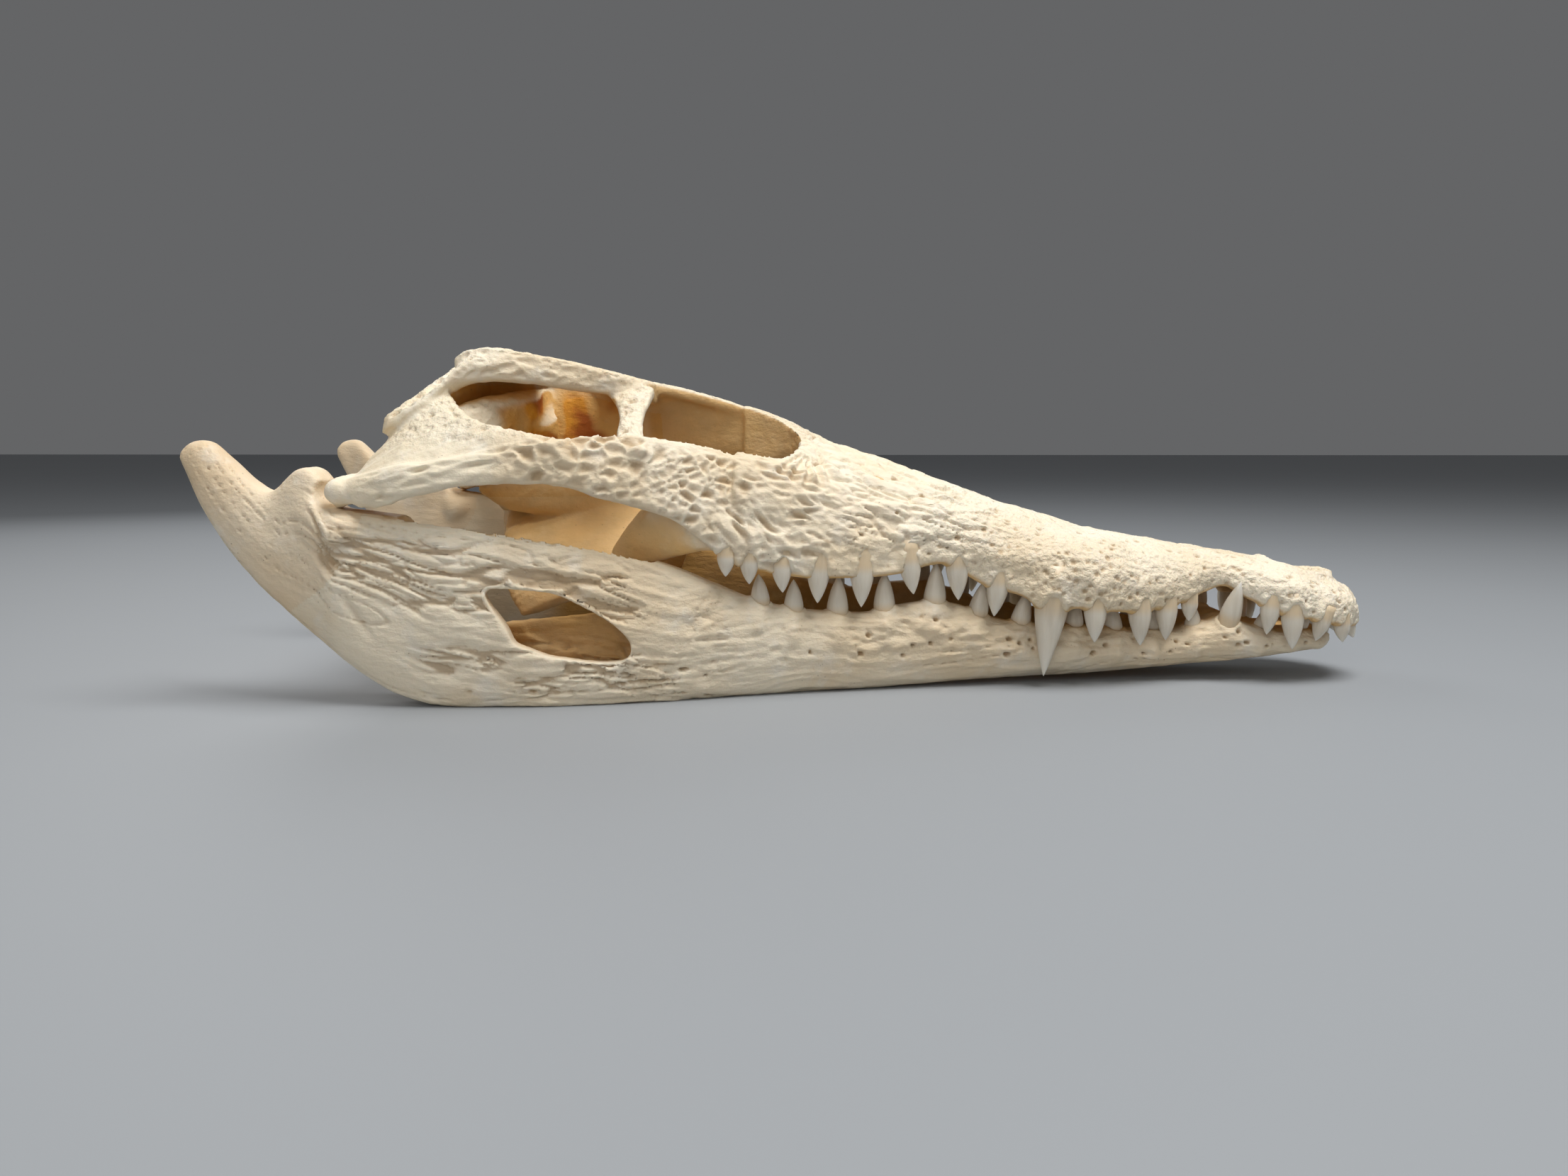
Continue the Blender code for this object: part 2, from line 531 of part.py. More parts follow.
def pterygoid():
    """The wing of the palate that hangs inside the lower jaw, and its stem."""
    sections = ((0, -50, -114, 60, 65, 5), (10, -51, -115, 60.5, 64.5, 4.6),
                (18, -54, -114.5, 58.5, 60.5, 3.2), (25, -57, -113.5, 55, 55, 2.6),
                (32, -59, -112, 51.5, 47, 2.4), (38, -61, -110, 48, 40, 2.5),
                (43, -65, -106, 44, 33, 2.8), (46.2, -74, -102, 38.5, 27.5, 2.2))
    rings = []
    for y, front, back, zf, zb, half in sections:
        rings.append(oval(((front + back) / 2, y, (zf + zb) / 2),
                          ((front - back) / 2, 0, (zf - zb) / 2), (0, 0.75 * half, 0.75 * half), 20, 3.0))
    stem = limb((((-74, 0, 62), (0, 8, 0), (0, 0, 6)), ((-86, 0, 70), (0, 9.5, 0), (0, 0, 13)),
                 ((-100, 0, 74), (0, 12, 0), (0, 0, 15)), ((-113, 0, 76), (0, 13.5, 0), (0, 0, 14)),
                 ((-118, 0, 78), (0, 11, 0), (0, 0, 10))), 18, 2.4)
    wall = limb((((-72, 8, 64), (0, 3, 0), (0, 0, 3)), ((-84, 14, 68), (0, 5, 0), (0, -1, 6)),
                 ((-98, 19, 71.5), (0, 6, 0), (0, -2, 9)), ((-112, 23, 75), (0, 6, 0), (0, -2, 10)),
                 ((-121, 27, 79), (0, 5, 0), (0, -1, 8))), 16, 2.3)
    return [ring_solid(rings), stem, wall]


def ectopterygoid():
    """The brace from the cheek down to the edge of the palate wing."""
    edge = limb((((-27, 55, 56), (0, 3, 0), (0, 0, 4)), ((-36, 54.5, 60), (0, 2.8, 0), (0, 0.6, 8)),
                 ((-46, 52.5, 60), (0, 2.8, 0), (0, 1.4, 10.5)),
                 ((-55, 50.3, 58), (0, 2.8, 0), (0, 1.6, 11)), ((-62, 48, 53), (0, 2.8, 0), (0, 1, 8.5)),
                 ((-69, 45.5, 47), (0, 2.8, 0), (0, 0.4, 5))), 16, 2.4)
    brace = limb((((-40, 59.5, 72), (5, 0, 0), (0, 2.6, 1.5)), ((-47, 55.5, 67), (7, 0, 0), (0, 2.4, 1.5)),
                  ((-51, 52, 60), (8, 0, 0), (0, 2.4, 1)), ((-54, 50, 52), (8, 0, 0), (0, 2.4, 0.5))),
                 16, 2.4)
    return [edge, brace]


def naris_rim():
    """The raised ring round the nostril."""
    rings = []
    for k in range(24):
        t = 2 * math.pi * k / 24
        x, y = 187.5 + 12.6 * math.cos(t), 11 * math.sin(t)
        z = 41.8 - (x - 187.5) * 0.2 - abs(y) * 0.14
        out = np.array((math.cos(t), math.sin(t), 0)) * 2.6
        rings.append(oval((x, y, z), out, (0, 0, 2.2), 8))
    points = [tuple(p) for ring in rings for p in ring]
    faces = []
    for r in range(24):
        for k in range(8):
            a, b = r * 8 + k, r * 8 + (k + 1) % 8
            c, d = (r + 1) % 24 * 8 + (k + 1) % 8, (r + 1) % 24 * 8 + k
            faces.append((a, b, c, d))
    return points, faces


def cranium_openings():
    """What is taken away from the fused upper skull."""
    naris = limb((((187.5, 0, 52), (10.6, 0, 0), (0, 9, 0)), ((187.5, 0, 42), (10.4, 0, 0), (0, 8.8, 0)),
                  ((186.5, 0, 35), (8, 0, 0), (0, 7, 0)), ((186, 0, 31.5), (4, 0, 0), (0, 3.5, 0))))
    foramen = limb((((-140, 0, 102.5), (0, 6, 0), (0, 0, 4.8)),
                    ((-116, 0, 102.5), (0, 5.6, 0), (0, 0, 4.6)),
                    ((-108, 0, 101), (0, 3, 0), (0, 0, 2.5))))
    choana = limb((((-94, 0, 50), (7, 0, 0), (0, 8, 0)), ((-96, 0, 62), (6, 0, 0), (0, 7, 0)),
                   ((-97, 0, 66), (3, 0, 0), (0, 3.5, 0))))
    incisive = limb((((184, 0, 20), (6, 0, 0), (0, 3.6, 0)), ((184, 0, 34), (5, 0, 0), (0, 3, 0))))
    upper_window = limb((((-84, 19.5, 128), (12.5, 0, 0), (0, 8.6, 0)),
                         ((-86, 19.5, 113), (12, 0, 0), (0, 8, 0)),
                         ((-88, 22, 104), (11, 0, 0), (0, 8, 0)), ((-90, 30, 95), (10, 0, 0), (0, 9, 0))))
    orbit = tapered(ORBIT, ((64, 0.74), (72, 0.92), (84, 0.99), (92, 1.0), (130, 1.02)))
    between = limb((((-32, -24, 73), (30, 0, 0), (0, 0, 9.5)), ((-32, 0, 73.5), (30.5, 0, 0), (0, 0, 9)),
                    ((-32, 24, 73), (30, 0, 0), (0, 0, 9.5))), 20, 2.5)
    palate_window = limb((((52, 22, 52), (0, 3, 0), (0, 0, 12)), ((44, 22.5, 53), (0, 8, 0), (0, 0, 17)),
                          ((26, 24, 56), (0, 12, 0), (0, 0, 22)), ((4, 27, 60), (0, 15, 0), (0, 0, 24)),
                          ((-14, 29, 62), (0, 17, 0), (0, 0, 25)),
                          ((-34, 33, 66), (0, 15, 0), (0, 0, 25))), 22, 2.6)
    return [naris, foramen, choana, incisive, between] + both([upper_window, palate_window, orbit])


def ramus():
    """One side of the lower jaw as a single loft, top edge and lower edge rolled in."""
    out, thick, top, base = through(JAW_OUT), through(JAW_THICK), through(JAW_TOP), through(JAW_BASE)
    rings = []
    xs = list(sampled(-212, -140, 2.5)) + list(sampled(-137, 190, 4)) + [193, 195.5, 198, 200, 201]
    for x in xs:
        w, t, zt, zb = out(x), thick(x), top(x), base(x)
        h = zt - zb
        inner = max(w - t, 0.17)
        roll = through(JAW_ROLL)(x)
        inset = min(3.4, t * 0.22)
        ring = [(w - inset - 1.6, zt - 0.4), (w - inset * 0.75, zt - 0.10 * h),
                (w - inset * 0.3, zt - 0.24 * h), (w, zt - 0.45 * h),
                (w - roll * 0.15, zb + 0.34 * h), (w - roll * 0.6, zb + 0.13 * h),
                (w - roll * 1.15, zb + 0.03 * h), (w - roll * 1.6, zb),
                (inner + t * 0.2, zb + 0.02 * h), (inner + 0.5, zb + 0.14 * h), (inner, zb + 0.4 * h),
                (inner, zt - 0.3 * h), (inner + 0.4, zt - 0.1 * h), (inner + t * 0.18, zt - 0.3),
                (w - inset - t * 0.34, zt)]
        rings.append([(x, y, z) for y, z in ring])
    return ring_solid(rings)


def articular():
    """The cup for the quadrate and the shelf inside it."""
    return [limb((((-147, 66, 60), (0, 9, 0), (0, 0, 5)), ((-152, 65, 60.5), (0, 13, 0), (0, 0, 6.5)),
                  ((-158, 64.5, 60), (0, 13.5, 0), (0, 0, 8)), ((-164, 64.5, 62), (0, 11, 0), (0, 0, 12)),
                  ((-170, 65, 62), (0, 8, 0), (0, 0, 12))), 18, 2.4)]


def jaw_openings():
    """What is taken away from one side of the lower jaw."""
    out, thick = through(JAW_OUT), through(JAW_THICK)
    window = prism(JAW_WINDOW, 55, 90)
    upper, lower = [], []
    for x in sampled(-52, -138, 4):
        fade = min(1.0, (-46 - x) / 12, (x + 144) / 12)
        y1 = out(x) - FOSSA_WALL - 0.8
        y0 = out(x) - thick(x) - 5
        wall_top = 31 + (x + 68) * 0.12
        upper.append(oval((x, (y0 + y1) / 2 + (y1 - y0) * (1 - fade) * 0.4, (wall_top + 76) / 2),
                          (0, max((y1 - y0) / 2 * fade, 0.6), 0),
                          (0, 0, (76 - wall_top) / 2 * max(fade, 0.3)), 20, 4))
    for x in sampled(-50, -134, 4):
        fade = min(1.0, (-44 - x) / 14, (x + 142) / 14)
        y1 = out(x) - FOSSA_WALL - 1.6
        y0 = out(x) - thick(x) + 3.6
        floor = 9 + max(0.0, (-112 - x) * 0.5)
        lower.append(oval((x, (y0 + y1) / 2, (floor + 48) / 2), (0, max((y1 - y0) / 2 * fade, 0.6), 0),
                          (0, 0, (48 - floor) / 2 * max(fade, 0.3)), 20, 3))
    cup = limb((((-157, 49, 73.5), (5, 0, 0), (0, 0, 5.6)), ((-157, 58, 73.2), (5.8, 0, 0), (0, 0, 5.8)),
                ((-158, 66, 73.4), (5.6, 0, 0), (0, 0, 5.3)), ((-159, 76, 72.8), (5.6, 0, 0), (0, 0, 5.5)),
                ((-159, 84, 73), (5.4, 0, 0), (0, 0, 5.4))), 20, 2.2)
    return window, ring_solid(upper), ring_solid(lower), cup


def tooth(base, tip, radius, root, count=TOOTH_SIDES):
    """A slightly curved cone from inside the bone to its tip."""
    base, tip = Vector(base), Vector(tip)
    way = (tip - base).normalized()
    side = way.cross(Vector((0, 1, 0))).normalized()
    up = side.cross(way)
    rings = []
    for share, size in ((-root, 0.98), (0.0, 1.0), (0.55, 0.76)):
        middle = base + (tip - base) * max(share, 0) + way * (share if share < 0 else 0)
        rings.append(oval(middle, np.array(side) * radius * size * 1.08,
                          np.array(up) * radius * size * 0.92, count))
    rings.append(oval(tip, np.array(side) * 0.22, np.array(up) * 0.22, count))
    return ring_solid(rings)


def upper_teeth(side):
    """The upper row of one side, hanging just inside the rim."""
    width = through(SNOUT_WIDTH)
    arch = through(ARCH_OUT)
    solids = []
    for x, z, length, lean in UPPER_TEETH:
        length *= random.uniform(0.96, 1.03)
        radius = 1.5 + 0.11 * length
        y = (width(x) if x > -5 else arch(x)) - 0.8 * radius - 0.3
        out = 1.0 + 0.05 * length
        base = (x - lean * 0.3, y, z + 1.5)
        tip = (x + lean, y + out * 0.55, z - length)
        if x > 204:
            base, tip = (x - 1, 7.5, z + 2.5), (x + 2, 8.8, z - length)
        solids.append(tooth([c * (side if i == 1 else 1) for i, c in enumerate(base)],
                            [c * (side if i == 1 else 1) for i, c in enumerate(tip)], radius, ROOT))
    return solids


def lower_teeth(side):
    """The lower row of one side, standing just inside the edge of the jaw."""
    out = through(JAW_OUT)
    solids = []
    for x, z, length, lean in LOWER_TEETH:
        length *= random.uniform(0.96, 1.03)
        radius = 1.5 + 0.1 * length
        inset = min(3.4, through(JAW_THICK)(x) * 0.22)
        y = out(x) - inset - radius - 1.4
        spread = 0.4
        if abs(x - 158) < 2:
            y, spread = out(x) - radius - 0.7, 3.4
        base = (x, y, z - 1.5)
        tip = (x + lean, y + spread, z + length)
        solids.append(tooth([c * (side if i == 1 else 1) for i, c in enumerate(base)],
                            [c * (side if i == 1 else 1) for i, c in enumerate(tip)], radius, ROOT))
    return solids


def build_cranium(cutters, helpers):
    """The whole upper skull as one skin, opened, eased and thinned."""
    arch = [squamosal(), postorbital_bar(), cheek_arch(), cheek_floor()]
    arch += quadrate() + ectopterygoid() + [occiput()] + pterygoid()
    solids = [snout(), frontal(), skull_table(), braincase(), palatine_bar(), naris_rim()]
    solids += condyle_and_tubera() + both(arch)
    cranium = new_object("Cranium", solids, helpers)
    fuse(cranium, VOXEL, 3)
    openings = new_object("CraniumOpenings", cranium_openings(), cutters)
    fuse(openings, VOXEL, 2)
    combine(cranium, openings, "DIFFERENCE")
    fuse(cranium, VOXEL, 2)
    keep_largest(cranium)
    thin_out(cranium, CRANIUM_FACES)
    return cranium


def build_ramus(cutters, helpers):
    """The right side of the lower jaw, opened, eased and thinned."""
    ramus_whole = new_object("Ramus", [ramus()] + articular(), helpers)
    fuse(ramus_whole, VOXEL, 2)
    for i, solid in enumerate(jaw_openings()):
        cutter = new_object(f"JawOpening{i}", [solid], cutters)
        combine(ramus_whole, cutter, "DIFFERENCE")
    fuse(ramus_whole, VOXEL, 3)
    keep_largest(ramus_whole)
    thin_out(ramus_whole, RAMUS_FACES)
    return ramus_whole


def with_teeth(obj, solids, helpers):
    """Teeth joined to the bone that they grow from."""
    for i, solid in enumerate(solids):
        one = new_object(f"{obj.name}Tooth{i}", [solid], helpers)
        combine(obj, one, "UNION")
        bpy.data.objects.remove(one)


# Each bone of the upper skull: name, a point in it, material.
CRANIUM_NODES = (("premaxillae", (200, 0, 36), "ivory"), ("maxillae", (80, 20, 50), "ivory"),
                 ("skull_roof", (-80, 0, 113), "ivory"), ("braincase", (-100, 14, 85), "amber"),
                 ("palatines", (-30, 0, 51), "pale"), ("pterygoids", (-80, 36, 45), "pale"),
                 ("jugal_left", (-50, 65, 80), "ivory"), ("jugal_right", (-50, -65, 80), "ivory"),
                 ("quadrate_left", (-140, 72, 80), "pale"), ("quadrate_right", (-140, -72, 80), "pale"))
RAMUS_NODES = (("dentary", (100, 26, 10), "ivory"), ("surangular", (-120, 73, 20), "ivory"),
               ("articular", (-200, 63, 70), "yellow"))


def cranium_seams():
    """The cuts that part the upper skull into its bones."""
    middle = [blade(((153, 0), (153, 60)), -40, 40),
              blade(((12, 120), (12, 63.5)), -27, 27),
              blade(((45, 40), (45, 63.5), (-28, 63.5)), -20, 20),
              blade(((-46, 45), (-46, 72)), -17, 17),
              blade(((-56, 80), (-56, 100.2), (-66, 102), (-80, 106.4), (-92, 109.2), (-108, 111.6),
                     (-119, 110.8), (-150, 107)), -60, 60),
              blade(((-58, 68.5), (-128, 70.2)), -52, 52)]
    side = [blade(((12, 120), (12, 80), (4, 70), (-12, 63), (-30, 59.5), (-38.5, 57.5), (-38.5, 40)),
                  20, 70),
            blade(((14, 27), (-12, 27)), 60, 120, 2),
            blade(((-103, 55), (-103, 90)), 60, 104, 2),
            blade(((-37.5, 40), (-37.5, 57.4)), 38, 76, 2),
            blade(((57.4, 36), (57.4, 69), (48, 77)), -80, -37.4, 0)]
    rings = []
    for x, y in ((-101, 49.6), (-112, 50.6), (-126, 51.4), (-138, 54.4), (-146, 58.2), (-162, 62)):
        line = ((y, 128), (y, 90), (31, 90), (31, 69))
        g = SEAM / 2
        ring = [(line[0][0] + g, line[0][1]), (line[1][0] + g, line[1][1] - g),
                (line[2][0] + g, line[2][1] - g), (line[3][0] + g, line[3][1]),
                (line[3][0] - g, line[3][1]), (line[2][0] - g, line[2][1] + g),
                (line[1][0] - g, line[1][1] + g), (line[0][0] - g, line[0][1])]
        rings.append([(x, a, b) for a, b in ring])
    points, faces = ring_solid(rings)
    faces = [f for f in faces if max(f) < len(points) - 2]
    last = (len(rings) - 1) * 8
    for s in (0, last):
        faces += [(s, s + 1, s + 6, s + 7), (s + 1, s + 2, s + 5, s + 6), (s + 2, s + 3, s + 4, s + 5)]
    side.append((points[:-2], faces))
    return middle + both(side)


def ramus_seams():
    """The cuts that part one side of the lower jaw."""
    return [blade(((-38, 70), (-42, 50), (-60, 25), (-65, 17), (-46, -6)), 20, 90),
            blade(((-146, 90), (-148.5, 58), (-160, 42), (-186, 26)), 40, 90)]


def parted(whole, seams, nodes, cutters, bones, materials):
    """Cuts a whole form at its seams and gives each bone its name."""
    for i, solid in enumerate(seams):
        cutter = new_object(f"{whole.name}Seam{i}", [solid], cutters)
        combine(whole, cutter, "DIFFERENCE")
    form = bmesh.new()
    form.from_mesh(whole.data)
    islands = surfaces_of(form)
    for name, point, slot in nodes:
        target = Vector(point) * MM
        best = min(islands, key=lambda island: min((v.co - target).length for v in island))
        index = {v: i for i, v in enumerate(best)}
        faces = {f for v in best for f in v.link_faces}
        mesh = bpy.data.meshes.new(name)
        ordered = sorted(faces, key=lambda f: f.index)
        mesh.from_pydata([v.co for v in best], [], [[index[v] for v in f.verts] for f in ordered])
        tidy(mesh)
        mesh.materials.append(materials[slot])
        bones.objects.link(bpy.data.objects.new(name, mesh))
    form.free()


def set_down(bones):
    """Puts the lowest point on the floor and the middle of the box over the origin."""
    points = np.array([v.co[:] for obj in bones.objects for v in obj.data.vertices])
    low, high = points.min(axis=0), points.max(axis=0)
    move = Matrix.Translation((-(low[0] + high[0]) / 2, -(low[1] + high[1]) / 2, -low[2]))
    for obj in bones.objects:
        obj.data.transform(move)


def main():
    """Builds every bone and leaves one object per named node."""
    for obj in list(bpy.data.objects):
        bpy.data.objects.remove(obj)
    bones = bpy.data.collections.new("Crocodile skull")
    cutters = bpy.data.collections.new("Cutters")
    helpers = bpy.data.collections.new("Helpers")
    for group in (bones, cutters, helpers):
        bpy.context.scene.collection.children.link(group)
    materials = {"ivory": material("Bone", IVORY), "pale": material("Palate bone", PALE),
                 "amber": material("Inner bone", AMBER), "yellow": material("Joint bone", YELLOW)}
    cranium = build_cranium(cutters, helpers)
    with_teeth(cranium, upper_teeth(1) + upper_teeth(-1), helpers)
    parted(cranium, cranium_seams(), CRANIUM_NODES, cutters, bones, materials)
    left = build_ramus(cutters, helpers)
    right = left.copy()
    right.data = left.data.copy()
    helpers.objects.link(right)
    right.name = "RamusRight"
    mirror_mesh(right.data)
    for obj, side, word in ((left, 1, "left"), (right, -1, "right")):
        with_teeth(obj, lower_teeth(side), helpers)
        seams = ramus_seams() if side > 0 else [mirrored(s) for s in ramus_seams()]
        nodes = [(f"{name}_{word}", (x, y * side, z), slot) for name, (x, y, z), slot in RAMUS_NODES]
        parted(obj, seams, nodes, cutters, bones, materials)
    set_down(bones)
    for obj in list(helpers.objects):
        bpy.data.objects.remove(obj)
    bpy.data.collections.remove(helpers)
    for obj in cutters.objects:
        obj.hide_render = True
        obj.display_type = "WIRE"


main()
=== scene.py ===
"""The look of a crocodile skull with its lower jaw closed, resting on the lower jaw.

The measured tables are millimetres, with X to the tip of the snout, Y to the left side of
the animal and Z up from the floor. The bones are lofted and fused finely, sculpted with pits,
nets, fibres, sockets and seams, coloured amber mixed with painted shade where little air
reaches or surfaces face in or down, darkened in pits as painted shade, and parted by bone.
"""

import json
import math
import random

import bmesh
import bpy
import numpy as np
from mathutils import Matrix, Vector
from mathutils.bvhtree import BVHTree
from mathutils.kdtree import KDTree


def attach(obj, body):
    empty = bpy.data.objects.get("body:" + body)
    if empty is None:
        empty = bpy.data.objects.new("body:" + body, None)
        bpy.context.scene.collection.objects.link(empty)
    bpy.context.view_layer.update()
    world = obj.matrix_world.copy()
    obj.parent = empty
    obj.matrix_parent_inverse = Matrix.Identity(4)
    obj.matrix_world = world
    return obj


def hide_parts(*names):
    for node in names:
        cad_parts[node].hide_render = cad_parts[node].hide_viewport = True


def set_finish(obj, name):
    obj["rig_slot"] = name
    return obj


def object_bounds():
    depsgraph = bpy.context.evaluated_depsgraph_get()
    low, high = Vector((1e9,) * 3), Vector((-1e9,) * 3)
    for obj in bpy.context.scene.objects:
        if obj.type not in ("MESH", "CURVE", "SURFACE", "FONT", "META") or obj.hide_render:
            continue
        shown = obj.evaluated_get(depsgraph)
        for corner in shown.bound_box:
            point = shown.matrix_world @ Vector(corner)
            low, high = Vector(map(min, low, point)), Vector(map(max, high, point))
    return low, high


MM = 0.001
# From the tables' own frame to where the solids stand.
MOVE = np.array((-0.48, -0.04, -0.29))
# Cell sizes that the skull, its openings and the coarse copy for rays are fused at.
VOXEL, OPEN_VOXEL, COARSE = 0.72, 1.0, 2.4
# Rays from each point, the turn from ray to ray, how far they feel and how far off they start.
RAYS, RAY_TURN, RAY_REACH, RAY_START = 22, 2.399963, 70.0, 0.6
# Points round a tooth, how much thicker and, in the lower jaw, longer it is than in the solids.
TOOTH_STEPS, TOOTH_GROWN, LOWER_GROWN = 26, 1.3, 1.12
# X of the long lower tooth, which stands outside the snout in its notch.
NOTCH_TOOTH = 158

# Middle line of the top of the skull, from the snout tip to the back: x, z.
TOP = ((213, 24), (210.5, 31.8), (206, 36), (197, 39.9), (184, 43.6), (169.5, 46.2),
       (140, 51.2), (110, 56.5), (80.3, 65), (50.5, 75.5), (20.7, 85.8), (5, 91), (-6, 97.4),
       (-16, 101.4), (-26.6, 104.6), (-37.3, 107.8), (-48, 110.4), (-58.7, 112.2), (-66, 114.2),
       (-77.5, 117.2), (-91, 120), (-104, 122.2), (-113, 123.3), (-119, 122.4), (-124, 120))
# Lower rim of the upper jaw: x, z.
RIM = ((213, 24), (209, 20.5), (204, 20.5), (198, 22.1), (180, 26), (168, 30), (162, 33),
       (156, 36.4), (149, 34.4), (142, 31.8), (134, 29.6), (121, 28), (106, 29.2), (98, 30),
       (91, 28.4), (85, 29.4), (79, 34), (72, 36), (65, 38), (57, 42.4), (49, 46.4), (41, 45.2),
       (32, 42.8), (20, 42), (5, 42.2), (-7.6, 43.8), (-26, 48.4))
# Half width of the snout: x, y.
SNOUT_WIDTH = ((213, 0.5), (211, 7.5), (208, 12.2), (203, 17.2), (198, 20.6), (190, 24),
               (180, 26.2), (168, 24.5), (160, 20.6), (154, 19.6), (148, 21.2), (140, 24),
               (125, 30), (110, 35.5), (100, 37), (90, 36.8), (75, 36.2), (60, 37), (42, 40),
               (20, 46), (0, 51.8), (-12, 54.8), (-24, 57.8))
# Half width of the frontal bar between the orbits, and the lowest line of its keel.
FRONTAL_WIDTH = ((22, 30), (10, 22), (0, 17), (-15, 13.5), (-30, 12.5), (-45, 14.5), (-55, 20),
                 (-62, 30), (-66, 35))
FRONTAL_KEEL = ((22, 74), (0, 80), (-30, 84), (-50, 85.5), (-66, 87))
# Half width of that keel, wide where it leaves the snout.
KEEL_WIDTH = ((22, 12), (-22, 11.8), (-30, 9.8), (-38, 6.6), (-46, 4.4), (-56, 3.5), (-66, 3.5))
# The flat skull table: half width.
TABLE_WIDTH = ((-56, 26), (-60, 33.5), (-66, 36.5), (-80, 39.5), (-100, 43.5), (-112, 45),
               (-119, 44.5), (-124, 43))
TABLE_THICK = 8.5
# Braincase under the table: half width, lowest line.
BRAIN_WIDTH = ((-58, 7), (-66, 10), (-80, 12.5), (-95, 16), (-110, 20), (-127, 22))
BRAIN_BASE = ((-58, 96), (-70, 86), (-85, 79), (-92, 66), (-100, 62), (-115, 64), (-127, 80))
# Cheek arch, jugal and quadratojugal: outer half width, upper edge, lower edge, thickness.
ARCH_OUT = ((22, 45), (8, 49), (0, 51.8), (-8, 54.2), (-24, 58.8), (-34, 61.5), (-44, 64.5),
            (-54, 67.5), (-62, 70), (-71, 72.5), (-84, 75), (-99, 77), (-112, 78.5),
            (-125, 79.2), (-140, 77.6), (-152, 74.6))
ARCH_TOP = ((22, 68), (8, 77), (-7.6, 83.6), (-23, 88), (-44, 90.6), (-61, 91.8), (-84, 90.4),
            (-99, 88.2), (-119, 84.5), (-134, 82.5), (-152, 78))
ARCH_BASE = ((22, 44), (8, 44.6), (-7.6, 45.6), (-26, 49.4), (-34, 54.6), (-45, 63.4), (-56, 67.6),
             (-69, 71), (-78, 74.4), (-87, 75.9), (-98, 76), (-110, 75.4), (-121, 73.6), (-134, 70.4),
             (-140, 68.4), (-147, 68), (-153, 70.6))
ARCH_THICK = ((22, 12), (0, 12), (-26, 12), (-36, 9.5), (-50, 8), (-70, 7), (-100, 6.2),
              (-130, 7), (-152, 8))
ARCH_LEAN = ((22, 8), (0, 9.5), (-24, 7.5), (-50, 4.5), (-84, 2), (-152, 1))
# Quadrate plate, from the cheek arch up and in to the squamosal: x, low y, low z, high y, high z.
QUADRATE = ((-76, 72.5, 85, 72, 87), (-84, 74, 85, 72.6, 89.8), (-95, 75.2, 84, 70.8, 92.6),
            (-105, 76, 82, 67, 94.8), (-113, 76.5, 80, 62.6, 97.4), (-119, 77, 79, 57, 101),
            (-125, 77.2, 78, 50, 106), (-132, 77, 77, 49.4, 104.4), (-140, 76, 75.5, 52.5, 96),
            (-148, 74, 73.8, 55.5, 86.5), (-154, 72, 73, 57, 78.5), (-158, 69.5, 72.4, 60, 74.5))
QUADRATE_THICK = 7.0
# Lower jaw: outer half width, thickness, upper edge, lower edge.
JAW_OUT = ((201, 6), (198, 11.5), (194, 15), (190, 17), (180, 19.5), (170, 20.4), (158, 21.8),
           (148, 21.2), (135, 22.5), (120, 24.5), (105, 27.5), (90, 30), (75, 32.5), (60, 35.5),
           (45, 38.5), (30, 42), (15, 45.5), (0, 49.5), (-20, 55.5), (-40, 62.5), (-60, 68.5),
           (-80, 73), (-100, 75.5), (-120, 76.5), (-140, 76.5), (-155, 76), (-165, 74),
           (-180, 71), (-195, 69.5), (-204, 69), (-212, 66.5))
JAW_THICK = ((201, 5.8), (194, 14.8), (180, 19.3), (158, 21.6), (149, 21), (142, 18), (120, 14),
             (90, 13), (30, 13.5), (-20, 14), (-45, 15), (-60, 16), (-80, 20), (-100, 23),
             (-120, 24), (-140, 24), (-165, 21), (-180, 15.5), (-195, 13), (-212, 8))
JAW_ROLL = ((201, 1.6), (190, 4.6), (150, 6), (40, 5), (-20, 4.4), (-60, 3.6), (-130, 4), (-160, 5),
            (-175, 3.2), (-212, 1.6))
JAW_TOP = ((201, 16), (197, 18.6), (186, 19.6), (174, 19.6), (165, 22.5), (158, 25), (149.5, 22.3),
           (138, 19.6), (123, 20), (95, 22.3), (77.6, 23.5), (66, 26.2), (57, 30), (45.6, 32),
           (34, 30.9), (20, 28.4), (6, 29.5), (-7.6, 31.5), (-21, 35.7), (-34, 41.7), (-47, 47.5),
           (-65, 53.2), (-85, 57.3), (-110, 61.3), (-136, 64.6), (-150, 66.4), (-157, 67.5),
           (-161, 74), (-164, 79.5), (-168, 81.4), (-172, 80.4), (-177, 76), (-182, 73), (-188, 76.4),
           (-196, 84), (-204, 90.6), (-209, 90), (-212, 87))
JAW_BASE = ((201, 12.6), (199, 11.6), (186, 10.2), (171, 8.2), (140, 5.1), (109, 3.1), (79, 2.3),
            (49, 1.3), (20, 0.3), (0, 0), (-112, 0), (-124, 0.6), (-137, 3.6), (-156, 14.5),
            (-170, 26), (-186, 40.3), (-197, 53.5), (-205, 67), (-212, 83))
# Opening in the side of the lower jaw: x, z round its edge.
JAW_WINDOW = ((-106.6, 38.6), (-105.2, 41.2), (-102, 41.4), (-93, 40.6), (-84, 39.4), (-74.5, 34.8),
              (-65, 28.6), (-59.6, 22.2), (-60.6, 16.6), (-69, 15.6), (-85, 18), (-92, 20.6),
              (-97.4, 23), (-100.2, 28.8))
# Thickness of the outer wall of the lower jaw beside that opening.
FOSSA_WALL = 4.4
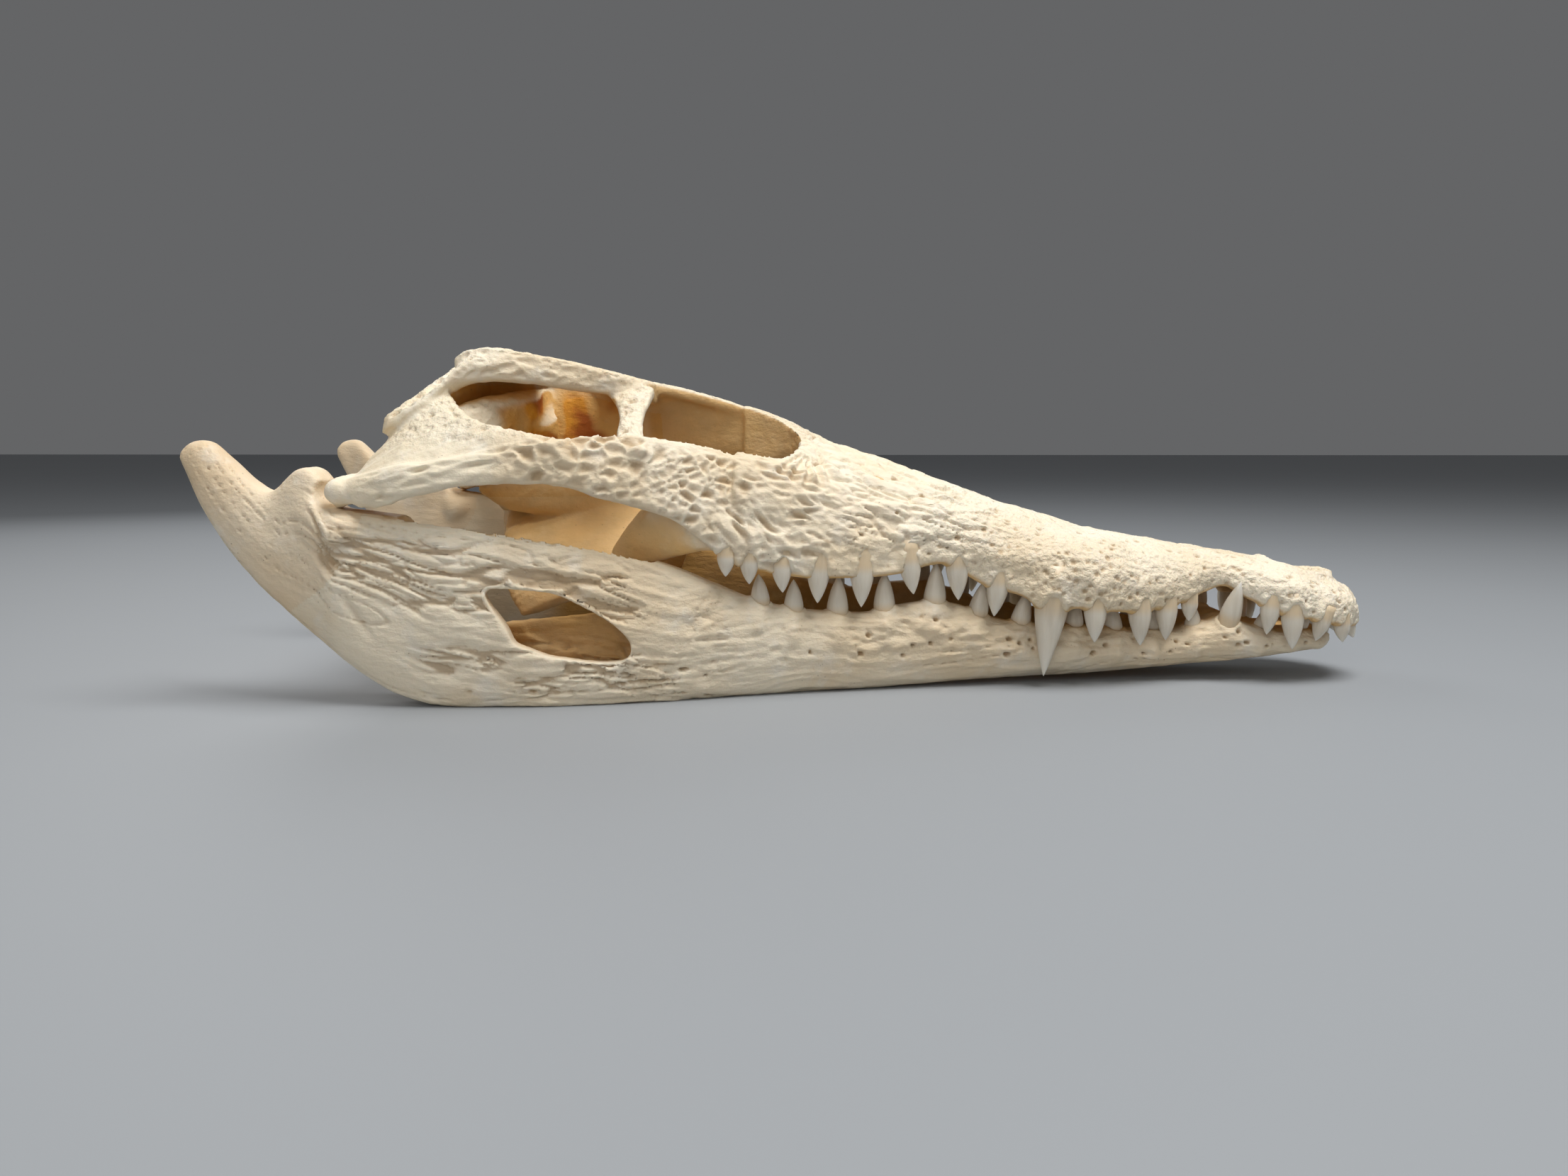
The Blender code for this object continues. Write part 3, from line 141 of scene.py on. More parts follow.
# Orbit seen from above: x, y round its edge.
ORBIT = ((-2.4, 30), (-5, 23), (-11, 18), (-21, 14.8), (-31, 13.4), (-42, 14.8), (-50, 19), (-54, 26),
         (-55.4, 35), (-56, 45), (-55, 53), (-51, 57.6), (-43, 56), (-32, 52.4), (-21, 49.4), (-10, 45.6),
         (-4, 39))

# Teeth of one side. Base x, base z, length past the bone, lean of the tip along X.
UPPER_TEETH = ((-27.3, 50.2, 6.3, 0), (-19.5, 48.8, 7.8, 0), (-8.5, 47, 9.6, 0), (4.3, 46, 13, -0.5),
               (19.8, 45.4, 14, 0.2), (37, 47.4, 12.4, 0.8), (54.5, 45.6, 13, 0.7),
               (69.3, 39.2, 12.6, -1), (88.6, 31.2, 27.4, -2.6), (104.7, 30, 12.6, 0),
               (122.2, 28.6, 13.2, 0.5), (133.1, 28.8, 11.8, 0.3), (142.5, 29.5, 6, 0),
               (171.6, 29.5, 10.5, -1.5), (179.6, 26.5, 13, 0.3), (191, 24, 7.5, -2.2),
               (200.5, 21.5, 6.4, 0.5), (207, 20.8, 5.6, 1.6))
LOWER_TEETH = ((-16.1, 34, 8.8, -0.4), (-4.4, 31, 9, 0), (11.3, 29, 12, 0), (28.4, 30, 11.6, -0.5),
               (46.8, 31.8, 13.4, 1.2), (63, 27.4, 10.8, 2), (79, 23.4, 10.6, 3),
               (99.8, 22, 8.6, 0.5), (115.4, 20.4, 9.2, -1), (130, 19.7, 8.4, 0),
               (146.1, 21, 6.5, 0.3), (158, 24.5, 12, 2.6), (172, 19.8, 8, 3.4),
               (186, 19.5, 6.6, 5), (196, 17.5, 6, 4))


def through(stations):
    """A smooth line through stations that never swings past them, for numbers or arrays."""
    points = sorted(stations)
    xs = np.array([p[0] for p in points], float)
    vs = np.array([p[1] for p in points], float)
    steps = np.diff(xs)
    slopes = np.diff(vs) / steps
    tangents = np.zeros(len(xs))
    for i in range(1, len(xs) - 1):
        a, b = slopes[i - 1], slopes[i]
        tangents[i] = 2 * a * b / (a + b) if a * b > 0 else 0.0
    tangents[0], tangents[-1] = slopes[0], slopes[-1]

    def at(x):
        x = np.clip(x, xs[0], xs[-1])
        i = np.clip(np.searchsorted(xs, x) - 1, 0, len(steps) - 1)
        t = (x - xs[i]) / steps[i]
        rise = (2 * t**3 - 3 * t**2 + 1) * vs[i] + (3 * t**2 - 2 * t**3) * vs[i + 1]
        turn = (t**3 - 2 * t**2 + t) * tangents[i] + (t**3 - t**2) * tangents[i + 1]
        return rise + turn * steps[i]

    return at


def sampled(first, last, step):
    """Evenly spaced numbers from first to last, both included."""
    count = max(2, int(round(abs(last - first) / step)) + 1)
    return np.linspace(first, last, count)


def eased(rows, per=5, closed=False):
    """More rows on one smooth line through the rows given."""
    rows = np.array(rows, float)
    count = len(rows)
    found = []
    for i in range(count if closed else count - 1):
        if closed:
            a, b, c, d = (rows[(i + k) % count] for k in (-1, 0, 1, 2))
        else:
            b, c = rows[i], rows[i + 1]
            a = rows[i - 1] if i else 2 * b - c
            d = rows[i + 2] if i + 2 < count else 2 * c - b
        for k in range(per):
            t = k / per
            found.append(0.5 * (2 * b + (c - a) * t + (2 * a - 5 * b + 4 * c - d) * t**2
                                + (3 * b - 3 * c + d - a) * t**3))
    if not closed:
        found.append(rows[-1])
    return found


def ring_solid(rings):
    """A closed mesh over rings of the same length, as points and faces, capped at both ends."""
    count = len(rings[0])
    points = [tuple(p) for ring in rings for p in ring]
    faces = []
    for r in range(len(rings) - 1):
        for k in range(count):
            a, b = r * count + k, r * count + (k + 1) % count
            faces.append((a, b, b + count, a + count))
    for ring, start, flip in ((rings[0], 0, True), (rings[-1], (len(rings) - 1) * count, False)):
        middle = len(points)
        points.append(tuple(np.mean(ring, axis=0)))
        for k in range(count):
            a, b = start + k, start + (k + 1) % count
            faces.append((b, a, middle) if flip else (a, b, middle))
    return points, faces


def oval(centre, u, v, count=44, power=2.0):
    """A ring round a centre with half axes u and v. A higher power is squarer."""
    centre, u, v = (np.array(p, float) for p in (centre, u, v))
    t = 2 * math.pi * np.arange(count) / count
    c, s = np.cos(t), np.sin(t)
    c, s = np.copysign(abs(c) ** (2 / power), c), np.copysign(abs(s) ** (2 / power), s)
    return list(centre + c[:, None] * u + s[:, None] * v)


def limb(axes, rows, count=44, power=2.0):
    """A solid through ovals. A row is a centre, then the parts of its two half axes that axes
    names: with "y xz" the first lies along Y and the second has a part along X and one along Z."""
    places = [start + "xyz".index(a) for start, word in zip((3, 6), axes.split()) for a in word]
    rows = np.array(rows, float)
    full = np.zeros((len(rows), 9))
    full[:, [0, 1, 2] + places] = rows
    return ring_solid([oval(r[:3], r[3:6], r[6:], count, power) for r in eased(full)])


def halved(x, half, above, below):
    """A ring at x from its left half, given as y and z from below upwards, and two middle points."""
    ring = [(x, y, z) for y, z in half] + [(x, 0, above)]
    return ring + [(x, -y, z) for y, z in reversed(half)] + [(x, 0, below)]


def loft(rings):
    """A solid through rings of a few points, each eased into a smooth one."""
    return ring_solid([eased(ring, 3, True) for ring in rings])


def prism(outline, low, high):
    """An outline in X and Z, drawn out along Y between low and high."""
    points = [(a, level, b) for level in (low, high) for a, b in outline]
    count = len(outline)
    faces = [tuple(range(count)), tuple(range(count, 2 * count))]
    for k in range(count):
        after = (k + 1) % count
        faces.append((k, after, after + count, k + count))
    return points, faces


def tapered(outline, levels):
    """A plan outline drawn out upwards, shrunk or grown about its middle at each level."""
    outline = eased(outline, 4, True)
    middle = np.mean(outline, axis=0)
    return ring_solid([[(*(middle + (p - middle) * share), z) for p in outline]
                       for z, share in levels])


def mirrored(solid):
    """The same solid on the other side of the animal."""
    points, faces = solid
    return [(x, -y, z) for x, y, z in points], [tuple(reversed(f)) for f in faces]


def both(solids):
    """Right and left copies of solids given for one side."""
    return list(solids) + [mirrored(s) for s in solids]


def placed(name, data):
    """A new object with this data, in the scene."""
    obj = bpy.data.objects.new(name, data)
    bpy.context.scene.collection.objects.link(obj)
    return obj


def new_object(name, solids):
    """One object holding every solid, faces turned out."""
    form = bmesh.new()
    for points, faces in solids:
        verts = [form.verts.new(Vector(p) * MM) for p in points]
        for face in faces:
            form.faces.new([verts[i] for i in face])
    bmesh.ops.recalc_face_normals(form, faces=form.faces)
    bmesh.ops.triangulate(form, faces=form.faces)
    mesh = bpy.data.meshes.new(name)
    form.to_mesh(mesh)
    form.free()
    return placed(name, mesh)


def settle(obj):
    """Makes the result of the modifiers the object's own mesh."""
    bpy.context.view_layer.update()
    graph = bpy.context.evaluated_depsgraph_get()
    mesh = bpy.data.meshes.new_from_object(obj.evaluated_get(graph))
    obj.modifiers.clear()
    obj.data = mesh


def fuse(obj, voxel, rounds):
    """Overlapping forms become one skin, and its edges are eased."""
    remesh = obj.modifiers.new("Fuse", "REMESH")
    remesh.mode = "VOXEL"
    remesh.voxel_size = voxel * MM
    remesh.adaptivity = 0
    ease = obj.modifiers.new("Ease", "SMOOTH")
    ease.factor = 0.5
    ease.iterations = rounds
    settle(obj)


def cut(obj, cutter):
    """Takes another object away from this one, and removes it."""
    boolean = obj.modifiers.new("Cut", "BOOLEAN")
    boolean.operation = "DIFFERENCE"
    boolean.solver = "MANIFOLD"
    boolean.object = cutter
    settle(obj)
    bpy.data.objects.remove(cutter)


def snout():
    """Premaxillae, maxillae and nasals as one loft with a hollowed palate."""
    top, rim, width = through(TOP), through(RIM), through(SNOUT_WIDTH)
    rings = []
    for x in list(sampled(-24, 196, 2)) + [199, 202, 205, 207.5, 209.5, 211, 212, 213]:
        w, zt, zb = width(x), top(x), rim(x)
        if x > 212.5:
            zt, zb = 28.5, 23.5
        shoulder = zb + (zt - zb) * 0.34
        lift = min(4.0, w * 0.22)
        palate = min(zb + lift, zt - 3)
        lip = min(8.5, w * 0.42)
        half = [(w * 0.2, palate), (w - lip, palate), (w - lip * 0.75, zb + lift * 0.35),
                (w - lip * 0.5, zb), (w - lip * 0.14, zb), (w - 0.1, zb + (shoulder - zb) * 0.2)]
        for k in range(12):
            t = math.pi / 2 * k / 12
            half.append((w * math.cos(t) ** 0.86, shoulder + (zt - shoulder) * math.sin(t) ** 0.93))
        rings.append(halved(x, half, zt, palate))
    return loft(rings)


def frontal():
    """The bar between the orbits, with raised rims and a keel below."""
    top, width, keel, flare = (through(t) for t in (TOP, FRONTAL_WIDTH, FRONTAL_KEEL, KEEL_WIDTH))
    rings = []
    for x in sampled(10, -66, 2):
        w, zt, zk = width(x), top(x), keel(x)
        low = min(flare(x), w - 1.6)
        half = [(low, zk), (max(low + 0.4, w * 0.62), zt - 7), (w - 0.8, zt - 4.8), (w, zt - 2.2),
                (w - 1.2, zt - 0.2), (w * 0.6, zt - 0.8)]
        rings.append(halved(x, half, zt - 1.8, zk - 1))
    return loft(rings)


def skull_table():
    """The flat roof behind the orbits."""
    top, width = through(TOP), through(TABLE_WIDTH)
    rings = []
    for x in sampled(-56, -124, 2):
        w, zt = width(x), top(x)
        under = zt - TABLE_THICK
        half = [(w * 0.5, under), (w - 3, under), (w - 0.4, zt - 6), (w, zt - 3), (w - 1.4, zt - 0.4),
                (w * 0.6, zt - 0.6)]
        rings.append(halved(x, half, zt, under))
    return loft(rings)


def squamosal():
    """The hind corner of the table and the strip that runs down behind it."""
    return limb("xy xz", ((-67, 34.2, 108.4, 0, 2, 0, 2.2), (-76, 35.8, 110, 0, 2.8, 0, 3.1),
                          (-84, 37.5, 111.5, 0, 3.5, 0, 3.8), (-100, 41, 114.5, 0, 4, 0, 4.4),
                          (-114, 43.5, 115.5, 0, 4.6, 1, 5.2), (-122.5, 45.5, 112.2, 0, 5, 2.2, 5.6),
                          (-130.5, 49, 104.6, 1, 5, 4.4, 6), (-138.8, 52.2, 98.8, 1, 4.4, 4.2, 5.2),
                          (-145.5, 54, 95.5, 1, 3, 2, 3.4)))


def braincase():
    """The wall under the table, narrow in front and wide behind."""
    top, width, base = through(TOP), through(BRAIN_WIDTH), through(BRAIN_BASE)
    rings = []
    for x in sampled(-58, -127, 2):
        w, zt, zb = width(x), top(x) - 3, base(x)
        rings.append(oval((x, 0, (zt + zb) / 2), (0, w, 0), (0, 0, (zt - zb) / 2), 56, 2.6))
    return ring_solid(rings)


def occiput():
    """The upright plate at the back, out to the tip beside the quadrate."""
    return limb("x z", ((-121, 0, 107.5, 5.2, 13.5), (-122, 12, 107, 5, 13.5),
                        (-124.5, 24, 106.5, 4.6, 12.5), (-127.5, 34, 104.6, 4.4, 11.2),
                        (-132, 42, 101.2, 4.2, 9.2), (-138, 49, 98, 4, 6.6),
                        (-143.5, 54, 95.4, 3.4, 4)), 56, 2.4)


def condyle_and_tubera():
    """The knob that meets the neck and the low bosses under it."""
    return [limb("y z", ((-118, 0, 92, 9, 6.5), (-124, 0, 91.5, 6, 5.5), (-129, 0, 91, 5.6, 5.2),
                         (-131.5, 0, 91, 3, 3))),
            limb("y x", ((-112, 0, 88, 17, 6), (-116, 0, 78, 14, 6), (-117, 0, 68, 12, 5),
                         (-117, 0, 63, 8, 3)), 56, 2.4)]


def postorbital_bar():
    """The flat upright between the orbit and the opening behind it."""
    rows = ((-63, 31, 108, 10, 3), (-62, 38.5, 103, 6.4, 2.8), (-61, 46, 98.2, 4.6, 2.7),
            (-60.3, 53, 93.6, 4.6, 2.7), (-59.6, 59.5, 89, 5.4, 3), (-59, 65.5, 85, 7.2, 3.4))
    return limb("x yz", [(*row, 0.55 * b, 0.83 * b) for *row, b in rows], 56, 2.2)


def cheek_arch():
    """Jugal and quadratojugal, from the snout back to the jaw joint."""
    out, top, base, thick, lean = (through(t) for t in (ARCH_OUT, ARCH_TOP, ARCH_BASE, ARCH_THICK,
                                                        ARCH_LEAN))
    rings = []
    for x in sampled(22, -152, 2):
        t, zt, zb = thick(x), top(x), base(x)
        middle, half = (zt + zb) / 2, (zt - zb) / 2
        rings.append(oval((x, out(x) - t / 2 - lean(x) * 0.35, middle), (0, t / 2, 0),
                          (0, -lean(x) * 0.6, half), 56, 2.8))
    return ring_solid(rings)


def cheek_floor():
    """The hind end of the tooth row, inside the front of the cheek arch."""
    return limb("y z", ((30, 39, 52, 5, 6), (14, 42, 52, 6, 7), (-4, 47.5, 53.5, 6, 8),
                        (-20, 52.5, 56.5, 5.8, 8), (-30, 55.5, 61, 4.6, 6.5),
                        (-38, 58, 67, 3, 4)), 56, 2.4)


def quadrate():
    """The slanted plate above the jaw joint, its knuckle and its inner limb."""
    rings = []
    for x, y0, z0, y1, z1 in eased(QUADRATE):
        centre = np.array((x, (y0 + y1) / 2, (z0 + z1) / 2))
        along = np.array((0, (y0 - y1) / 2, (z0 - z1) / 2))
        across = np.array((0, -(z0 - z1), (y0 - y1)), float)
        across *= QUADRATE_THICK / 2 / np.linalg.norm(across)
        along *= 1 + 2.2 / np.linalg.norm(along)
        rings.append(oval(centre - across * 0.6, along, across, 56, 2.6))
    knuckle = limb("x z", ((-155.5, 75.4, 73.4, 2.5, 2.4), (-155.5, 73, 73.2, 4.4, 4.2),
                           (-155, 68, 74, 4.8, 4.4), (-154, 62, 74, 5, 5), (-153, 55, 74, 4.6, 4.6),
                           (-152.5, 52, 74.5, 2.6, 2.6)))
    inner = limb("xy z", ((-150, 62, 77, 2, 3, 5), (-142, 56, 80.5, 4, 6, 6.5),
                          (-132, 46, 84, 5, 7, 7.5), (-120, 32, 86, 5, 7, 8.5),
                          (-110, 20, 84, 5, 6, 9), (-104, 10, 82, 5, 5, 9)), 56, 2.3)
    wing = limb("xy z", ((-126, 46, 92, 5, 5, 9), (-118, 38, 94, 5, 5, 11), (-108, 26, 95, 5, 5, 13),
                         (-98, 14, 96, 5, 5, 14)), 56, 2.3)
    return [ring_solid(rings), knuckle, inner, wing]


def palatine_bar():
    """The narrow floor between the two openings of the palate."""
    return limb("y z", ((54, 0, 55, 12, 5.5), (40, 0, 55, 9, 6), (10, 0, 56, 8, 6), (-25, 0, 57, 8, 6),
                        (-48, 0, 58.5, 9.5, 6), (-62, 0, 60, 13, 6.5)), 56, 2.6)


def pterygoid():
    """The wing of the palate that hangs inside the lower jaw, and its stem."""
    sections = ((0, -50, -114, 60, 65, 5), (10, -51, -115, 60.5, 64.5, 4.6),
                (18, -54, -114.5, 58.5, 60.5, 3.2), (25, -57, -113.5, 55, 55, 2.6),
                (32, -59, -112, 51.5, 47, 2.4), (38, -61, -110, 48, 40, 2.5),
                (43, -65, -106, 44, 33, 2.8), (46.2, -74, -102, 38.5, 27.5, 2.2))
    rings = []
    for y, front, back, zf, zb, half in eased(sections):
        rings.append(oval(((front + back) / 2, y, (zf + zb) / 2),
                          ((front - back) / 2, 0, (zf - zb) / 2), (0, 0.75 * half, 0.75 * half), 56, 3.0))
    stem = limb("y z", ((-74, 0, 62, 8, 6), (-86, 0, 70, 9.5, 13), (-100, 0, 74, 12, 15),
                        (-113, 0, 76, 13.5, 14), (-118, 0, 78, 11, 10)), 56, 2.4)
    wall = limb("y yz", ((-72, 8, 64, 3, 0, 3), (-84, 14, 68, 5, -1, 6), (-98, 19, 71.5, 6, -2, 9),
                         (-112, 23, 75, 6, -2, 10), (-121, 27, 79, 5, -1, 8)), 56, 2.3)
    return [ring_solid(rings), stem, wall]


def ectopterygoid():
    """The brace from the cheek down to the edge of the palate wing."""
    edge = limb("y yz", ((-27, 55, 56, 3, 0, 4), (-36, 54.5, 60, 2.8, 0.6, 8),
                         (-46, 52.5, 60, 2.8, 1.4, 10.5), (-55, 50.3, 58, 2.8, 1.6, 11),
                         (-62, 48, 53, 2.8, 1, 8.5), (-69, 45.5, 47, 2.8, 0.4, 5)), 56, 2.4)
    brace = limb("x yz", ((-40, 59.5, 72, 5, 2.6, 1.5), (-47, 55.5, 67, 7, 2.4, 1.5),
                          (-51, 52, 60, 8, 2.4, 1), (-54, 50, 52, 8, 2.4, 0.5)), 56, 2.4)
    return [edge, brace]


def naris_rim():
    """The raised ring round the nostril."""
    round_it, about = 72, 24
    points, faces = [], []
    for r in range(round_it):
        t = 2 * math.pi * r / round_it
        x, y = 187.5 + 12.6 * math.cos(t), 11 * math.sin(t)
        z = 41.8 - (x - 187.5) * 0.2 - abs(y) * 0.14
        out = np.array((math.cos(t), math.sin(t), 0)) * 2.6
        points += [tuple(p) for p in oval((x, y, z), out, (0, 0, 2.2), about)]
        here, there = r * about, (r + 1) % round_it * about
        for k in range(about):
            after = (k + 1) % about
            faces.append((here + k, here + after, there + after, there + k))
    return points, faces


def cranium_openings():
    """What is taken away from the fused upper skull."""
    naris = limb("x y", ((187.5, 0, 52, 10.6, 9), (187.5, 0, 42, 10.4, 8.8), (186.5, 0, 35, 8, 7),
                         (186, 0, 31.5, 4, 3.5)))
    foramen = limb("y z", ((-140, 0, 102.5, 6, 4.8), (-116, 0, 102.5, 5.6, 4.6), (-108, 0, 101, 3, 2.5)))
    choana = limb("x y", ((-94, 0, 50, 7, 8), (-96, 0, 62, 6, 7), (-97, 0, 66, 3, 3.5)))
    incisive = limb("x y", ((184, 0, 20, 6, 3.6), (184, 0, 34, 5, 3)))
    upper_window = limb("x y", ((-84, 19.5, 128, 12.5, 8.6), (-86, 19.5, 113, 12, 8),
                                (-88, 22, 104, 11, 8), (-90, 30, 95, 10, 9)))
    orbit = tapered(ORBIT, ((64, 0.74), (72, 0.92), (84, 0.99), (92, 1.0), (130, 1.02)))
    between = limb("x z", ((-32, -24, 73, 30, 9.5), (-32, 0, 73.5, 30.5, 9), (-32, 24, 73, 30, 9.5)),
                   56, 2.5)
    palate_window = limb("y z", ((52, 22, 52, 3, 12), (44, 22.5, 53, 8, 17), (26, 24, 56, 12, 22),
                                 (4, 27, 60, 15, 24), (-14, 29, 62, 17, 25),
                                 (-34, 33, 66, 15, 25)), 56, 2.6)
    return [naris, foramen, choana, incisive, between] + both([upper_window, palate_window, orbit])


def ramus():
    """One side of the lower jaw as a single loft, top edge and lower edge rolled in."""
    out, thick, top, base, roll_at = (through(t) for t in (JAW_OUT, JAW_THICK, JAW_TOP, JAW_BASE,
                                                           JAW_ROLL))
    rings = []
    xs = list(sampled(-212, -140, 2.5)) + list(sampled(-138, 190, 2)) + [193, 195.5, 198, 200, 201]
    for x in xs:
        w, t, zt, zb, roll = out(x), thick(x), top(x), base(x), roll_at(x)
        h = zt - zb
        inner = max(w - t, 0.17)
        inset = min(3.4, t * 0.22)
        ring = [(w - inset - 1.6, zt - 0.4), (w - inset * 0.75, zt - 0.10 * h),
                (w - inset * 0.3, zt - 0.24 * h), (w, zt - 0.45 * h),
                (w - roll * 0.15, zb + 0.34 * h), (w - roll * 0.6, zb + 0.13 * h),
                (w - roll * 1.15, zb + 0.03 * h), (w - roll * 1.6, zb),
                (inner + t * 0.2, zb + 0.02 * h), (inner + 0.5, zb + 0.14 * h), (inner, zb + 0.4 * h),
                (inner, zt - 0.3 * h), (inner + 0.4, zt - 0.1 * h), (inner + t * 0.18, zt - 0.3),
                (w - inset - t * 0.34, zt)]
        rings.append([(x, y, z) for y, z in ring])
    return loft(rings)


def articular():
    """The cup for the quadrate and the shelf inside it."""
    return limb("y z", ((-147, 66, 60, 9, 5), (-152, 65, 60.5, 13, 6.5), (-158, 64.5, 60, 13.5, 8),
                        (-164, 64.5, 62, 11, 12), (-170, 65, 62, 8, 12)), 56, 2.4)


def jaw_openings():
    """What is taken away from one side of the lower jaw."""
    out, thick = through(JAW_OUT), through(JAW_THICK)
    window = prism([tuple(p) for p in eased(JAW_WINDOW, 4, True)], 55, 90)
    upper, lower = [], []
    for x in sampled(-52, -138, 2):
        fade = min(1.0, (-46 - x) / 12, (x + 144) / 12)
        y1 = out(x) - FOSSA_WALL - 0.8
        y0 = out(x) - thick(x) - 5
        wall_top = 31 + (x + 68) * 0.12
        upper.append(oval((x, (y0 + y1) / 2 + (y1 - y0) * (1 - fade) * 0.4, (wall_top + 76) / 2),
                          (0, max((y1 - y0) / 2 * fade, 0.6), 0),
                          (0, 0, (76 - wall_top) / 2 * max(fade, 0.3)), 56, 4))
    for x in sampled(-50, -134, 2):
        fade = min(1.0, (-44 - x) / 14, (x + 142) / 14)
        y1 = out(x) - FOSSA_WALL - 1.6
        y0 = out(x) - thick(x) + 3.6
        floor = 9 + max(0.0, (-112 - x) * 0.5)
        lower.append(oval((x, (y0 + y1) / 2, (floor + 48) / 2), (0, max((y1 - y0) / 2 * fade, 0.6), 0),
                          (0, 0, (48 - floor) / 2 * max(fade, 0.3)), 56, 3))
    cup = limb("x z", ((-157, 49, 73.5, 5, 5.6), (-157, 58, 73.2, 5.8, 5.8), (-158, 66, 73.4, 5.6, 5.3),
                       (-159, 76, 72.8, 5.6, 5.5), (-159, 84, 73, 5.4, 5.4)), 56, 2.2)
    return window, ring_solid(upper), ring_solid(lower), cup


def tooth_rows():
    """Base, tip and radius of every tooth, upper and lower, as the solids have them."""
    width, arch = through(SNOUT_WIDTH), through(ARCH_OUT)
    out, thick = through(JAW_OUT), through(JAW_THICK)
    upper, lower = [], []
    for side in (1, -1):
        turn = np.array((1, side, 1))
        for x, z, length, lean in UPPER_TEETH:
            length *= random.uniform(0.96, 1.03)
            radius = 1.5 + 0.11 * length
            y = (width(x) if x > -5 else arch(x)) - 0.8 * radius - 0.3
            base = np.array((x - lean * 0.3, y, z + 1.5))
            tip = np.array((x + lean, y + (1.0 + 0.05 * length) * 0.55, z - length))
            if x > 204:
                base, tip = np.array((x - 1, 7.5, z + 2.5)), np.array((x + 2, 8.8, z - length))
            upper.append((base * turn, tip * turn, radius))
    for side in (1, -1):
        turn = np.array((1, side, 1))
        for x, z, length, lean in LOWER_TEETH:
            length *= random.uniform(0.96, 1.03)
            radius = 1.5 + 0.1 * length
            y = out(x) - min(3.4, thick(x) * 0.22) - radius - 1.4
            spread = 0.4
            if abs(x - NOTCH_TOOTH) < 2:
                y, spread = out(x) - radius - 0.7, 3.4
            base = np.array((x, y, z - 1.5))
            length *= LOWER_GROWN
            lower.append((base * turn, np.array((x + lean, y + spread, z + length)) * turn, radius))
    return upper, lower


def tooth_form(base, tip, radius, hook):
    """One tooth as rings: an even root, a blunt crown with two keels, and a bent tip."""
    way = (tip - base) / np.linalg.norm(tip - base)
    fore = np.cross(way, (0, 1, 0))
    fore /= np.linalg.norm(fore)
    aside = np.cross(fore, way)
    length = np.linalg.norm(tip - base)
    slender = min(1.0, max(0.0, (length - 15) / 10))
    rings, shares = [], []
    for share in (-0.45, -0.2, 0.0, 0.06, 0.12, 0.2, 0.3, 0.4, 0.5, 0.6, 0.7, 0.78, 0.85, 0.91,
                  0.95, 0.98, 0.996):
        t = max(share, 0.0)
        size = radius * (1 - t ** (2.0 - 0.75 * slender)) ** 0.86
        middle = base + way * length * share + fore * hook * t * t * radius
        ring = []
        for k in range(TOOTH_STEPS):
            a = 2 * math.pi * k / TOOTH_STEPS
            keel = 1 + 0.07 * abs(math.cos(a)) ** 9 * min(1, t * 5)
            flute = 1 + 0.014 * math.cos(9 * a) * (1 - t)
            ring.append(middle + fore * math.cos(a) * size * 1.08 * keel * flute
                        + aside * math.sin(a) * size * 0.94 * flute)
        rings.append(ring)
        shares.append(share)
    return rings, shares


def lattice(i, j, k, seed):
    """An even random number from 0 to 1 for every lattice corner."""
    h = (i * 374761393 + j * 668265263 + k * 974634777 + seed * 1274126177) & 0xFFFFFFFF
    h = ((h ^ (h >> 13)) * 1274126177) & 0xFFFFFFFF
    h = ((h ^ (h >> 16)) * 1103515245) & 0xFFFFFFFF
    return ((h ^ (h >> 13)) & 0xFFFFFF) / 0xFFFFFF


def noise(p, seed):
    """Smooth random waves about one unit long, from -1 to 1."""
    low = np.floor(p).astype(np.int64)
    t = p - low
    t = t * t * (3 - 2 * t)
    total = np.zeros(len(p))
    for a in (0, 1):
        wa = t[:, 0] if a else 1 - t[:, 0]
        for b in (0, 1):
            wb = wa * (t[:, 1] if b else 1 - t[:, 1])
            for c in (0, 1):
                w = wb * (t[:, 2] if c else 1 - t[:, 2])
                total += w * lattice(low[:, 0] + a, low[:, 1] + b, low[:, 2] + c, seed)
    return total * 2 - 1


def cells(p, seed, jitter=0.8):
    """Distances to the nearest and second of scattered centres, and a number for the nearest."""
    low = np.floor(p).astype(np.int64)
    first = np.full(len(p), 9.0)
    second = first.copy()
    number = np.zeros(len(p))
    for a in (-1, 0, 1):
        for b in (-1, 0, 1):
            for c in (-1, 0, 1):
                i, j, k = low[:, 0] + a, low[:, 1] + b, low[:, 2] + c
                away = np.zeros(len(p))
                for axis, corner in enumerate((i, j, k)):
                    spot = corner + 0.5 + (lattice(i, j, k, seed + axis) - 0.5) * jitter
                    away += (spot - p[:, axis]) ** 2
                away = np.sqrt(away)
                closer = away < first
                second = np.where(closer, first, np.minimum(second, away))
                number = np.where(closer, lattice(i, j, k, seed + 7), number)
                first = np.minimum(first, away)
    return first, second, number


def smooth(low, high, value):
    """0 below low, 1 above high and an even change between."""
    t = np.clip((value - low) / (high - low), 0, 1)
    return t * t * (3 - 2 * t)


def band(value, low, high, soft):
    """1 between low and high, with soft edges."""
    return smooth(low - soft, low + soft, value) * (1 - smooth(high - soft, high + soft, value))


def on(mask, points, deep, make, *how):
    """A pattern made so deep, times the mask, and worked out only where the mask is not nothing."""
    found = np.zeros(len(mask))
    there = mask > 0.02
    if there.any():
        found[there] = deep * make(points[there], *how) * mask[there]
    return found


